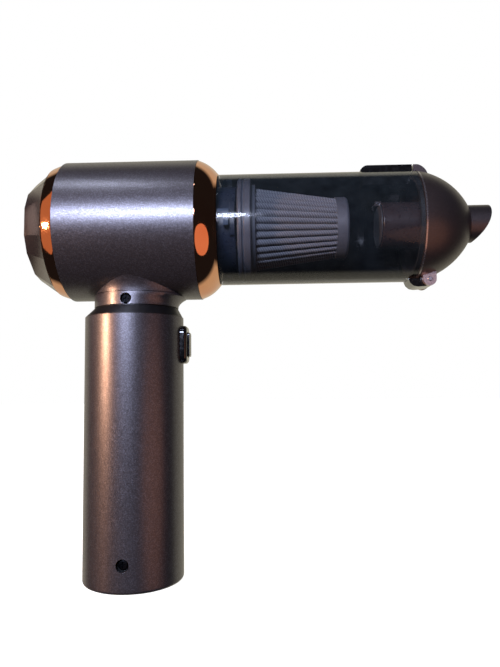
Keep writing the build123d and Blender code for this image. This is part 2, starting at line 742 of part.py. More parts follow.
# ======================= dust cup ====================================================================
latch_front = cup_front - 0.3
latch_back = latch_front - latch_length
pocket_half = latch_half_width - 1.2
rib_front = lug_back - clear
with BuildPart() as dust_cup:
    add(tube(cup_back, cup_front, cup_radius, cup_bore))
    for turn in range(bayonet_count):
        angle = 180 + turn * 360 / bayonet_count
        add(sector(rib_front - rib_thickness, rib_front, cup_bore + 0.5, spigot_radius + 2 * clear,
                   angle, rib_angle))
        add(sector(cup_back, rib_front, cup_bore + 0.5, spigot_radius + 2 * clear,
                   angle - rib_angle / 2 + 2.5, 5.0))
    add(block((latch_back + 1.1, -pocket_half - seat, head_height + cup_bore / 2),
              (cup_front + 1, pocket_half + seat, head_height + cup_radius + 1)), mode=Mode.SUBTRACT)

with BuildPart() as filter_seal:
    add(tube(filter_back, filter_back + filter_seal_length, cup_bore - seat, pleat_base_radius + 1.05))
    with BuildSketch(across(filter_back)):
        Circle(cup_bore + 1)
        Circle(cup_bore - 0.5, mode=Mode.SUBTRACT)
    extrude(amount=filter_seal_length * 0.3, mode=Mode.SUBTRACT)

with BuildPart() as filter_base:
    add(tube(filter_back, filter_base_front, pleat_base_radius + 1.0, pleat_base_radius - 3.2))
    add(tube(filter_base_front - filter_base_length, filter_base_front,
             pleat_base_radius + 2.0, pleat_base_radius - 3.2))


def star(x, tip, depth):
    """Pleated outline at station x."""
    corners = []
    for fold in range(2 * pleat_count):
        radius = tip - depth * (fold % 2)
        angle = radians(fold * 180 / pleat_count)
        corners.append((radius * cos(angle), radius * sin(angle)))
    with BuildSketch(across(x)) as outline:
        with BuildLine():
            Polyline(*corners, close=True)
        make_face()
    return outline.sketch


pleat_base_bore = pleat_base_radius - pleat_base_depth - filter_wall
pleat_end_bore = pleat_end_radius - pleat_end_depth - filter_wall
with BuildPart() as filter_pleats:
    loft([star(filter_base_front, pleat_base_radius, pleat_base_depth).face(),
          star(pleat_front, pleat_end_radius, pleat_end_depth).face()], ruled=True)
    add(turned((filter_base_front, 0), (filter_base_front, pleat_base_bore),
               (pleat_front, pleat_end_bore), (pleat_front, 0)), mode=Mode.SUBTRACT)

cage_base = pleat_base_bore - 0.1
cage_end = pleat_end_bore - 0.1
with BuildPart() as filter_cage:
    for station in (filter_base_front, (filter_base_front + pleat_front) / 2 - 1, pleat_front - 2):
        add(tube(station, station + 2, cage_base + 1))
    for strut in range(3):
        with BuildSketch(across(filter_base_front, turn=strut * 60)):
            Rectangle(2 * cage_base, 1.8)
        extrude(amount=pleat_length)
    add(turned((filter_base_front, cage_base - 1.2), (filter_base_front, cage_base),
               (pleat_front, cage_end), (pleat_front, cage_end - 1.2)), mode=Mode.INTERSECT)

with BuildPart() as filter_end_cap:
    add(tube(pleat_front, filter_front, pleat_end_radius + end_cap_overhang))
    fillet(filter_end_cap.edges().filter_by(GeomType.CIRCLE).sort_by(Axis.X)[-1], 1.2)
    with BuildSketch(across(filter_front - 1.2)):
        Circle(pleat_end_radius - 3.0)
        Circle(pleat_end_radius - 4.2, mode=Mode.SUBTRACT)
    extrude(amount=1.2, mode=Mode.SUBTRACT)

# ======================= latch ======================================================================
button_gap = 0.4
latch_top = head_height + latch_height
cavity_back = latch_back + latch_ramp + 0.4
cavity_front = latch_front - 2.8
cavity_half = pocket_half - latch_wall
pocket_floor = head_height + latch_floor
catch_half = 2.2
catch_low = head_height + cup_bore - 0.35    # tooth's underside
with BuildPart() as latch_housing:
    with BuildSketch(HEAD):
        with BuildLine():
            Polyline((latch_back, cup_radius - 2), (latch_back, cup_radius + 0.25),
                     (latch_back + latch_ramp, latch_height), (latch_front, latch_height),
                     (latch_front, cup_radius - 2), close=True)
        make_face()
    extrude(amount=latch_half_width, both=True)
    fillet(latch_housing.edges().filter_by(Axis.X), 1.0)
    add(tube(latch_back - 1, latch_front + 1, cup_radius + seat), mode=Mode.SUBTRACT)
    add(block((latch_back + 1.2, -pocket_half, pocket_floor), (latch_front, pocket_half, latch_top - 1.2)))
    add(block((cavity_back, -cavity_half, pocket_floor + latch_wall),
              (cavity_front, cavity_half, latch_top + 1)), mode=Mode.SUBTRACT)
    add(block((cavity_front - 1, -catch_half - 0.4, pocket_floor + latch_wall),
              (latch_front + 1, catch_half + 0.4, latch_top - 1.5)), mode=Mode.SUBTRACT)

finger_low = pocket_floor + latch_wall + latch_travel + clear
finger_high = catch_low - clear
button_front_x = cavity_front - button_gap
spring_top = finger_low + 3.6
spring_x = (cavity_back + cavity_front) / 2
with BuildPart() as latch_button:
    add(block((cavity_back + button_gap, -cavity_half + button_gap, finger_low),
              (button_front_x, cavity_half - button_gap, latch_top + latch_proud)))
    fillet(latch_button.faces().sort_by(Axis.Z)[-1].edges(), 0.5)
    add(block((button_front_x - 1, -catch_half, finger_low), (latch_front - 0.5, catch_half, finger_high)))
    add(post(finger_low, spring_top, latch_spring_radius + latch_spring_wire + clear, x=spring_x),
        mode=Mode.SUBTRACT)
    for groove in range(3):
        groove_x = spring_x - 4.5 + groove * 4.5
        add(block((groove_x - 0.5, -cavity_half, latch_top + latch_proud - 0.3),
                  (groove_x + 0.5, cavity_half, latch_top + latch_proud + 1)), mode=Mode.SUBTRACT)

spring_low = pocket_floor + latch_wall + latch_spring_wire + seat
spring_height = spring_top - spring_low - latch_spring_wire - seat
with BuildPart() as latch_spring:
    with BuildLine(Plane(origin=(spring_x, 0, spring_low))) as coil:
        Helix(pitch=spring_height / latch_spring_turns, height=spring_height, radius=latch_spring_radius)
    with BuildSketch(Plane(origin=coil.line @ 0, z_dir=coil.line % 0)):
        Circle(latch_spring_wire)
    sweep(path=coil.line)

# ======================= nose ========================================================================
dome_seat_radius = cup_radius
notch_radius = barrel_radius + 0.4
notch_half = barrel_half_width + clear


def dome_solid(inset):
    """Turned nose, inset by a wall's thickness all round."""
    start = (seam, dome_seat_radius - inset)
    middle = (seam + dome_mid_length - inset * 0.55, dome_mid_radius - inset * 0.8)
    end = (dome_front - inset, dome_end_radius - inset * 0.35)
    with BuildPart() as piece:
        with BuildSketch(HEAD):
            with BuildLine():
                ThreePointArc(start, middle, end)
                Polyline(end, (end[0], 0), (seam, 0), start)
            make_face()
        revolve(axis=HEAD_AXIS)
    return piece.part


with BuildPart() as nose_dome:
    add(dome_solid(0))
    add(dome_solid(dome_wall), mode=Mode.SUBTRACT)
    add(tube(seam + 0.7, seam + 2.3, dome_seat_radius - dome_wall + 0.3, cup_bore - 2.2))
    add(rod(-notch_half - 1.2, notch_half + 1.2, notch_radius + 1.2, pin_x, pin_z)
        & dome_solid(dome_wall / 2))
    add(rod(-notch_half, notch_half, notch_radius, pin_x, pin_z), mode=Mode.SUBTRACT)
    add(block((pin_x - notch_radius, -notch_half, pin_z - notch_radius),
              (pin_x + notch_radius, notch_half, pin_z)), mode=Mode.SUBTRACT)
    for side in (-1, 1):
        ear = sorted((side * (notch_half + ear_width), side * notch_half))
        add(rod(ear[0], ear[1], ear_radius, pin_x, pin_z))
        add(block((pin_x - ear_radius, ear[0], pin_z), (pin_x + ear_radius, ear[1], pin_z + 3.4)))
    with BuildSketch(HEAD):
        with BuildLine():
            Polyline((seam, cup_radius - 1.0), (seam, latch_height), (seam + 1.8, latch_height),
                     (seam + 6.4, dome_mid_radius + 3.4), (seam + 6.4, dome_mid_radius + 2.4), close=True)
        make_face()
    extrude(amount=latch_half_width, both=True)
    catch_back = cavity_front + clear
    add(block((catch_back, -catch_half, catch_low + 0.8), (seam + 2.3, catch_half, catch_low + 1.8)))
    add(block((catch_back, -catch_half, catch_low), (catch_back + 1.2, catch_half, catch_low + 1.0)))
    add(tube(dome_front - 12, dome_front + 1, nozzle_radius + seat, rise=nozzle_rise), mode=Mode.SUBTRACT)
    add(rod(-20, 20, hinge_pin_radius + 0.02, pin_x, pin_z), mode=Mode.SUBTRACT)

with BuildPart() as dome_seal:
    add(tube(cup_front - 1.2, seam + 0.65, cup_bore - 0.6, cup_bore - 2.1))
    add(block((cup_front - 2, -pocket_half - 2 * clear, pocket_floor - 2 * clear),
              (seam + 1, pocket_half + 2 * clear, latch_top)), mode=Mode.SUBTRACT)

with BuildPart() as hinge_bracket:
    add(rod(-barrel_half_width, barrel_half_width, barrel_radius, pin_x, pin_z))
    with BuildSketch(beside(0, 0, head_height)):
        with BuildLine():
            Polyline((cup_front - 3.4, -cup_radius + 0.4), (cup_front - 1.1, -cup_radius - 2.9),
                     (cup_front + 1.2, -cup_radius - 3.4), (pin_x, -hinge_drop - barrel_radius),
                     (pin_x - 2.0, -hinge_drop - 1.4), (cup_front, -cup_radius - 0.1), close=True)
        make_face()
    extrude(amount=barrel_half_width, both=True)
    add(tube(cup_front - 8, cup_front, cup_radius + seat), mode=Mode.SUBTRACT)
    add(rod(-20, 20, hinge_pin_radius + running, pin_x, pin_z), mode=Mode.SUBTRACT)

with BuildPart() as hinge_pin:
    add(rod(-notch_half - ear_width - 0.4, notch_half + ear_width + 0.4, hinge_pin_radius, pin_x, pin_z))
    chamfer(hinge_pin.edges().filter_by(GeomType.CIRCLE), 0.2)

duct_front = dome_front - 4.4
duct_bore = duct_radius - duct_wall
flap_pin_z = head_height + nozzle_rise + duct_radius - 1.25
flap_front = duct_end - clear
flap_pin_x = flap_front - flap_thickness / 2
nozzle_back = duct_front - 4.4
flap_barrel = 1.1
with BuildPart() as inlet_duct:
    add(tube(duct_end, duct_front, duct_radius, duct_bore, rise=nozzle_rise))
    add(tube(nozzle_back, duct_front, duct_radius, nozzle_radius + seat, rise=nozzle_rise))
    add(tube(nozzle_back - 1.5, nozzle_back, dome_mid_radius - 4.6, duct_bore))
    for side in (-1, 1):
        ear = sorted((side * 2.7, side * 4.2))
        add(block((flap_pin_x - 1.1, ear[0], flap_pin_z - 1.3), (duct_end + 0.5, ear[1], flap_pin_z + 0.9)))
    add(tube(duct_end - 3, duct_front + 1, duct_bore, rise=nozzle_rise)
        & tube(duct_end - 3, nozzle_back, duct_bore, rise=nozzle_rise), mode=Mode.SUBTRACT)
    add(block((duct_end - 1, -2.7, flap_pin_z - 1.5), (duct_end + 0.9, 2.7, flap_pin_z + 2)),
        mode=Mode.SUBTRACT)
    add(rod(-6, 6, flap_pin_radius + 0.02, flap_pin_x, flap_pin_z), mode=Mode.SUBTRACT)

with BuildPart() as flap_pin:
    add(rod(-4.2, 4.2, flap_pin_radius, flap_pin_x, flap_pin_z))

with BuildPart() as inlet_flap:
    add(tube(flap_front - flap_thickness, flap_front, duct_radius - 0.4, rise=nozzle_rise))
    add(block((flap_pin_x - 2, -4.6, flap_pin_z - 1.7), (flap_pin_x + 2, 4.6, flap_pin_z + 3)),
        mode=Mode.SUBTRACT)
    add(rod(-2.4, 2.4, flap_barrel, flap_pin_x, flap_pin_z))
    add(block((flap_front - flap_thickness, -2.4, flap_pin_z - 2), (flap_front, 2.4, flap_pin_z)))
    add(rod(-3, 3, flap_pin_radius + running, flap_pin_x, flap_pin_z), mode=Mode.SUBTRACT)

mouth_top = (nozzle_tip, nozzle_radius + nozzle_rise)
mouth_mid = (nozzle_tip - nozzle_cut_mid[0], nozzle_cut_mid[1] + nozzle_rise)
mouth_low = (nozzle_tip - nozzle_cut_depth, -nozzle_radius + nozzle_rise)
with BuildPart() as nozzle:
    add(tube(nozzle_back, nozzle_tip + 1, nozzle_radius, nozzle_bore, rise=nozzle_rise))
    with BuildSketch(HEAD):
        with BuildLine():
            ThreePointArc(mouth_top, mouth_mid, mouth_low)
            Polyline(mouth_low, (mouth_low[0], mouth_low[1] - 2), (nozzle_tip + 5, mouth_low[1] - 2),
                     (nozzle_tip + 5, mouth_top[1] + 2), (nozzle_tip, mouth_top[1] + 2), mouth_top)
        make_face()
    extrude(amount=nozzle_radius * 2, both=True, mode=Mode.SUBTRACT)

# ======================= output =======================================================================
pieces = {
    "body_shell": body_shell, "rear_ring": rear_ring, "rear_cap": rear_cap,
    "exhaust_foam": exhaust_foam, "front_bezel": front_bezel, "cup_seal": cup_seal,
    "bayonet_spigot": bayonet_spigot,
    "fan_cover": fan_cover, "diffuser": diffuser, "impeller": impeller,
    "motor_can": motor_can, "motor_end_bell": motor_end_bell, "motor_bushes": motor_bushes,
    "motor_magnets": motor_magnets, "motor_brushes": motor_brushes, "motor_shaft": motor_shaft,
    "armature_core": armature_core, "armature_windings": armature_windings,
    "commutator": commutator, "motor_screws": motor_screws, "motor_cradle": motor_cradle,
    "motor_rings": motor_rings, "motor_leads": motor_leads,
    "neck_clamp": neck_clamp, "neck_collar": neck_collar, "collar_screws": collar_screws,
    "neck_ring": neck_ring, "neck_screw": neck_screw,
    "handle_tube": handle_tube, "handle_end_cover": handle_end_cover, "handle_frame": handle_frame,
    "handle_screw": handle_screw, "battery_cells": battery_cells, "cell_straps": cell_straps,
    "control_board": control_board, "power_switch": power_switch, "button_frame": button_frame,
    "power_button": power_button, "charge_socket": charge_socket, "charge_light": charge_light,
    "dust_cup": dust_cup, "filter_seal": filter_seal, "filter_base": filter_base,
    "filter_cage": filter_cage, "filter_pleats": filter_pleats, "filter_end_cap": filter_end_cap,
    "latch_housing": latch_housing, "latch_button": latch_button, "latch_spring": latch_spring,
    "nose_dome": nose_dome, "dome_seal": dome_seal, "hinge_bracket": hinge_bracket,
    "hinge_pin": hinge_pin, "inlet_duct": inlet_duct, "inlet_flap": inlet_flap,
    "flap_pin": flap_pin, "nozzle": nozzle,
}
os.makedirs("parts", exist_ok=True)
for label, piece in pieces.items():
    piece.part.label = label
    export_step(piece.part, f"parts/{label}.step")
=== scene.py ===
import logging
import math
from dataclasses import dataclass, field
from enum import Enum
from typing import Any, Callable, Sequence

import bpy
from mathutils import Matrix, Vector


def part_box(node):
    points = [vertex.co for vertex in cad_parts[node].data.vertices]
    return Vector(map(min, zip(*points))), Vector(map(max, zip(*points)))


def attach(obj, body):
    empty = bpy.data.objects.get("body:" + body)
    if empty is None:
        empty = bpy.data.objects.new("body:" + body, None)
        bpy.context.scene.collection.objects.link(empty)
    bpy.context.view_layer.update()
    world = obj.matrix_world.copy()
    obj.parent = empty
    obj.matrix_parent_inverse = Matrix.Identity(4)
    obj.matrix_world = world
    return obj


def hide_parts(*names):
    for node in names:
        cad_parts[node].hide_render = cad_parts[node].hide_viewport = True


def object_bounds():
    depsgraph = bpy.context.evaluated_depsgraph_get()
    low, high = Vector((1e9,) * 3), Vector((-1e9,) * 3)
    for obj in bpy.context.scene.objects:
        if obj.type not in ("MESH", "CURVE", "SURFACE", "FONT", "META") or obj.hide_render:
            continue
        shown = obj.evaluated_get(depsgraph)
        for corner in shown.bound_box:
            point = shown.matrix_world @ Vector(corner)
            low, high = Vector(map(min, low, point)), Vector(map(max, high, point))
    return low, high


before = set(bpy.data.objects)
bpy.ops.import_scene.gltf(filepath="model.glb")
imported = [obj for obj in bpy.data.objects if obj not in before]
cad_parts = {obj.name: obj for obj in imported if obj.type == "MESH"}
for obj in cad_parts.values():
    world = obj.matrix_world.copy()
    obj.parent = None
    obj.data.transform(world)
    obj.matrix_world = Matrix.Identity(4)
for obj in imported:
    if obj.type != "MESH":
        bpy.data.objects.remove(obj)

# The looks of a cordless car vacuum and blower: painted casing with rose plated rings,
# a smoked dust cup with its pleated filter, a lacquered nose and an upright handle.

LOG = logging.getLogger("blower")
CAD_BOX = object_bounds()
MM = 0.001
Outline = Sequence[tuple[float, float]]
Piece = bpy.types.Object


# ---------------------------------------------------------------- modelling tools

class Cut(Enum):
    """How a tool piece changes a work piece."""

    AWAY = "DIFFERENCE"
    TOGETHER = "UNION"
    COMMON = "INTERSECT"


def deselect() -> None:
    """Leaves object mode with nothing selected."""
    if bpy.context.object and bpy.context.object.mode != "OBJECT":
        bpy.ops.object.mode_set(mode="OBJECT")
    bpy.ops.object.select_all(action="DESELECT")


def choose(piece: Piece) -> None:
    """Makes one piece the only selected and the active object."""
    deselect()
    bpy.context.view_layer.objects.active = piece
    piece.select_set(True)


def pick(piece: Piece, face_test: Callable[[Any], bool]) -> None:
    """Selects, in edit mode, the faces that pass a test.

    Args:
        piece: The piece being edited.
        face_test: Says of a mesh polygon whether it is wanted.
    """
    bpy.ops.mesh.select_mode(type="FACE")
    bpy.ops.mesh.select_all(action="DESELECT")
    bpy.ops.object.mode_set(mode="OBJECT")
    for polygon in piece.data.polygons:
        polygon.select = face_test(polygon)
    bpy.ops.object.mode_set(mode="EDIT")


def pick_points(piece: Piece, point_test: Callable[[Any], bool]) -> None:
    """Selects, in edit mode, the vertices that pass a test.

    Args:
        piece: The piece being edited.
        point_test: Says of a mesh vertex whether it is wanted.
    """
    bpy.ops.mesh.select_mode(type="VERT")
    bpy.ops.mesh.select_all(action="DESELECT")
    bpy.ops.object.mode_set(mode="OBJECT")
    for vertex in piece.data.vertices:
        vertex.select = point_test(vertex)
    bpy.ops.object.mode_set(mode="EDIT")


def draw(name: str, points: Sequence[Vector], closed: bool) -> Piece:
    """Draws an outline by extruding one vertex from point to point, and stays in edit mode.

    Args:
        name: The new piece's name.
        points: Corners of the outline, in the frame.
        closed: Whether the last corner joins the first.

    Returns:
        The piece, in edit mode, with its wire outline.
    """
    deselect()
    bpy.ops.mesh.primitive_plane_add(size=MM, location=points[0])
    bpy.ops.object.transform_apply(location=True, rotation=True, scale=True)
    piece = bpy.context.object
    piece.name = piece.data.name = name
    bpy.ops.object.mode_set(mode="EDIT")
    bpy.ops.mesh.select_mode(type="VERT")
    bpy.ops.mesh.merge(type="CENTER")
    path = [*points, points[0]] if closed else points
    for here, there in zip(path, path[1:]):
        bpy.ops.mesh.extrude_vertices_move(TRANSFORM_OT_translate={"value": there - here})
    bpy.ops.mesh.select_all(action="SELECT")
    bpy.ops.mesh.remove_doubles(threshold=0.001 * MM)
    return piece


def finish_mesh(piece: Piece, merge: float = 0.002 * MM) -> None:
    """Merges doubles, points the faces outwards and returns to object mode.

    Args:
        piece: The piece being edited.
        merge: Vertices nearer than this become one, in metres.
    """
    bpy.ops.mesh.select_all(action="SELECT")
    bpy.ops.mesh.remove_doubles(threshold=merge)
    bpy.ops.mesh.normals_make_consistent(inside=False)
    bpy.ops.object.mode_set(mode="OBJECT")
    choose(piece)


def apply(piece: Piece, kind: str, **settings: Any) -> None:
    """Adds a modifier with its settings and applies it.

    Args:
        piece: The piece to change.
        kind: Blender's name for the modifier's type.
        **settings: The modifier's properties.
    """
    choose(piece)
    modifier = piece.modifiers.new(kind.title(), kind)
    for key, value in settings.items():
        setattr(modifier, key, value)
    bpy.ops.object.modifier_apply(modifier=modifier.name)


def soften(piece: Piece, width: float, segments: int = 2, angle: float = 30.0) -> Piece:
    """Rounds a piece's edges and shades it smooth between them.

    Args:
        piece: The piece to round.
        width: The rounding's width, in metres.
        segments: Steps across the rounding.
        angle: Edges sharper than this many degrees are rounded.

    Returns:
        The same piece.
    """
    apply(piece, "BEVEL", width=width, segments=segments, limit_method="ANGLE",
          angle_limit=math.radians(angle), use_clamp_overlap=True)
    smooth(piece)
    apply(piece, "WEIGHTED_NORMAL", keep_sharp=True, weight=60)
    return piece


def smooth(piece: Piece, angle: float = 32.0) -> Piece:
    """Shades a piece smooth, with its edges past the angle kept sharp."""
    choose(piece)
    bpy.ops.object.shade_smooth_by_angle(angle=math.radians(angle))
    return piece


def combine(work: Piece, tool: Piece, cut: Cut) -> Piece:
    """Cuts, joins or intersects a piece with a tool, which is used up.

    Args:
        work: The piece that stays.
        tool: The piece that it is cut or joined with.
        cut: What the tool does.

    Returns:
        The work piece.
    """
    apply(work, "BOOLEAN", operation=cut.value, object=tool, solver="EXACT")
    mesh = tool.data
    bpy.data.objects.remove(tool)
    bpy.data.meshes.remove(mesh)
    return work


def copy_turned(piece: Piece, name: str, centre: Vector, axis: Vector, angle: float) -> Piece:
    """Copies a piece with its own mesh, turned about an axis.

    Args:
        piece: The piece to copy.
        name: The copy's name.
        centre: A point on the axis.
        axis: The axis's direction.
        angle: The turn, in degrees.

    Returns:
        The copy.
    """
    twin = piece.copy()
    twin.data = piece.data.copy()
    twin.name = twin.data.name = name
    bpy.context.scene.collection.objects.link(twin)
    turn = Matrix.Rotation(math.radians(angle), 4, axis)
    twin.data.transform(Matrix.Translation(centre) @ turn @ Matrix.Translation(-centre))
    return twin


def join(pieces: Sequence[Piece]) -> Piece:
    """Joins pieces into the first one."""
    deselect()
    for piece in pieces:
        piece.select_set(True)
    bpy.context.view_layer.objects.active = pieces[0]
    bpy.ops.object.join()
    return pieces[0]


def ring_of(piece: Piece, count: int, centre: Vector, axis: Vector) -> Piece:
    """Joins a piece and its copies, spread evenly about an axis.

    Args:
        piece: The first of the ring.
        count: How many there are with the first.
        centre: A point on the axis.
        axis: The axis's direction.

    Returns:
        The first piece, with the others joined to it.
    """
    step = 360 / count
    copies = [copy_turned(piece, f"{piece.name}_{i}", centre, axis, i * step) for i in range(1, count)]
    return join([piece, *copies])


def arc(start: tuple[float, float], middle: tuple[float, float], end: tuple[float, float],
        count: int = 10) -> list[tuple[float, float]]:
    """Points on the circle through three points, ends included.

    Args:
        start: Where the arc starts.
        middle: A point that it passes.
        end: Where it ends.
        count: Steps from start to end.

    Returns:
        The points, one more than count.
    """
    (ax, ay), (bx, by), (cx, cy) = start, middle, end
    d = 2 * (ax * (by - cy) + bx * (cy - ay) + cx * (ay - by))
    a2, b2, c2 = ax * ax + ay * ay, bx * bx + by * by, cx * cx + cy * cy
    ux = (a2 * (by - cy) + b2 * (cy - ay) + c2 * (ay - by)) / d
    uy = (a2 * (cx - bx) + b2 * (ax - cx) + c2 * (bx - ax)) / d
    first, mid, last = (math.atan2(y - uy, x - ux) for x, y in (start, middle, end))
    turn = (last - first) % math.tau
    if (mid - first) % math.tau > turn:
        turn -= math.tau
    radius = math.hypot(ax - ux, ay - uy)
    angles = [first + turn * i / count for i in range(count + 1)]
    return [(ux + radius * math.cos(a), uy + radius * math.sin(a)) for a in angles]


@dataclass(frozen=True)
class Lathe:
    """Turns outlines of (along, radius) points about one straight axis.

    Attributes:
        centre: Where along is zero on the axis.
        along: The axis's direction.
        outward: The direction in which the outline is drawn.
        steps: Facets round a full turn.
    """

    centre: Vector
    along: Vector
    outward: Vector
    steps: int = 144

    def point(self, along: float, radius: float) -> Vector:
        """A point of an outline, in the frame."""
        return self.centre + self.along * along + self.outward * radius

    def turn(self, name: str, outline: Outline, closed: bool = True) -> Piece:
        """Spins an outline into a solid.

        Args:
            name: The new piece's name.
            outline: Corners as (along, radius).
            closed: False for an outline that starts and ends on the axis.

        Returns:
            The solid.
        """
        piece = draw(name, [self.point(a, r) for a, r in outline], closed)
        bpy.ops.mesh.select_all(action="SELECT")
        bpy.ops.mesh.spin(steps=self.steps, angle=math.tau, center=self.centre, axis=self.along,
                          use_auto_merge=True)
        finish_mesh(piece)
        return piece

    def tube(self, name: str, start: float, end: float, outer: float, inner: float = 0.0) -> Piece:
        """A plain tube or bar, as a start for a piece or as a tool.

        Args:
            name: The new piece's name.
            start: Where it starts along the axis.
            end: Where it ends.
            outer: Its radius.
            inner: Its bore's radius, or 0 for a bar.

        Returns:
            The solid.
        """
        if inner > 0:
            return self.turn(name, [(start, inner), (start, outer), (end, outer), (end, inner)])
        return self.turn(name, [(start, 0), (start, outer), (end, outer), (end, 0)], closed=False)

    def radius(self, place: Vector) -> float:
        """A place's distance from the axis."""
        offset = place - self.centre
        return (offset - self.along * offset.dot(self.along)).length

    def angle(self, place: Vector) -> float:
        """A place's angle about the axis in degrees, from the outward direction."""
        offset = place - self.centre
        side = self.along.cross(self.outward)
        return math.degrees(math.atan2(offset.dot(side), offset.dot(self.outward)))


def lathe_across(x: float, z: float, steps: int = 48) -> Lathe:
    """A lathe on an axis across the object, for hinge barrels and screw holes."""
    return Lathe(Vector((x, 0, z)), Vector((0, 1, 0)), Vector((0, 0, 1)), steps)


def slab(name: str, outline: Outline, low: float, high: float, across: str = "Y") -> Piece:
    """A flat outline pulled into a solid.

    Args:
        name: The new piece's name.
        outline: Corners as (x, z), or as (x, y) when pulled along Z, or (y, z) along X.
        low: Where the solid starts along the pull.
        high: Where it ends.
        across: The axis of the pull.

    Returns:
        The solid.
    """
    place = {"Y": lambda a, b: Vector((a, low, b)), "Z": lambda a, b: Vector((a, b, low)),
             "X": lambda a, b: Vector((low, a, b))}[across]
    pull = {"Y": Vector((0, high - low, 0)), "Z": Vector((0, 0, high - low)),
            "X": Vector((high - low, 0, 0))}[across]
    piece = draw(name, [place(a, b) for a, b in outline], closed=True)
    bpy.ops.mesh.select_all(action="SELECT")
    bpy.ops.mesh.edge_face_add()
    bpy.ops.mesh.extrude_region_move(TRANSFORM_OT_translate={"value": pull})
    finish_mesh(piece)
    return piece


def block(name: str, low: Sequence[float], high: Sequence[float]) -> Piece:
    """A rectangular tool between two corners."""
    corners = [(low[0], low[2]), (high[0], low[2]), (high[0], high[2]), (low[0], high[2])]
    return slab(name, corners, low[1], high[1])


def rounded(low: tuple[float, float], high: tuple[float, float], radius: float,
            corner_steps: int = 6) -> list[tuple[float, float]]:
    """The outline of a rectangle with round corners.

    Args:
        low: The corner with the smaller values.
        high: The corner with the larger ones.
        radius: The corners' radius.
        corner_steps: Steps round each corner.

    Returns:
        The outline's points.
    """
    points = []
    corners = ((high[0], high[1], 0), (low[0], high[1], 90), (low[0], low[1], 180), (high[0], low[1], 270))
    for x, y, start in corners:
        cx = x - radius if x == high[0] else x + radius
        cy = y - radius if y == high[1] else y + radius
        for step in range(corner_steps + 1):
            angle = math.radians(start + 90 * step / corner_steps)
            points.append((cx + radius * math.cos(angle), cy + radius * math.sin(angle)))
    return points


# ---------------------------------------------------------------- frame places

@dataclass(frozen=True)
class Span:
    """How far a node reaches along the head's axis, and its radius about it."""

    back: float
    front: float
    radius: float


def span(node: str) -> Span:
    """The span of a turned node of the head."""
    low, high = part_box(node)
    return Span(low.x, high.x, (high.y - low.y) / 2)


def middle_of(node: str) -> Vector:
    """The middle of a node's box."""
    low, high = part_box(node)
    return (low + high) / 2


BODY_LOW, BODY_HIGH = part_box("body_shell")
HEAD_HEIGHT = (BODY_LOW.z + BODY_HIGH.z) / 2
HEAD = Lathe(Vector((0, 0, HEAD_HEIGHT)), Vector((1, 0, 0)), Vector((0, 0, 1)))
GRIP = Lathe(Vector((0, 0, 0)), Vector((0, 0, 1)), Vector((1, 0, 0)))
BODY = span("body_shell")
BODY_WALL = 1.8 * MM
BODY_BORE = BODY.radius - BODY_WALL
CUP = span("dust_cup")
CUP_WALL = 1.8 * MM
CUP_BORE = CUP.radius - CUP_WALL


# ---------------------------------------------------------------- finishes

def linear(code: str, alpha: float = 1.0) -> tuple[float, float, float, float]:
    """Turns an sRGB hex colour into linear red, green, blue and alpha."""
    values = [int(code[i:i + 2], 16) / 255 for i in (1, 3, 5)]
    red, green, blue = (v / 12.92 if v <= 0.04045 else ((v + 0.055) / 1.055) ** 2.4 for v in values)
    return (red, green, blue, alpha)


def add_node(tree: bpy.types.NodeTree, kind: str, settings: dict[Any, Any] | None = None,
             links: dict[Any, Any] | None = None) -> bpy.types.Node:
    """Adds a node, sets its sockets and properties, and links its inputs.

    Args:
        tree: The material's node tree.
        kind: The node's type name.
        settings: Values by input name or number, or by property name.
        links: Output sockets by input name or number.

    Returns:
        The new node.
    """
    node = tree.nodes.new(kind)
    for key, value in (settings or {}).items():
        if isinstance(key, int) or key in node.inputs:
            node.inputs[key].default_value = value
        else:
            setattr(node, key, value)
    for key, source in (links or {}).items():
        tree.links.new(source, node.inputs[key])
    return node


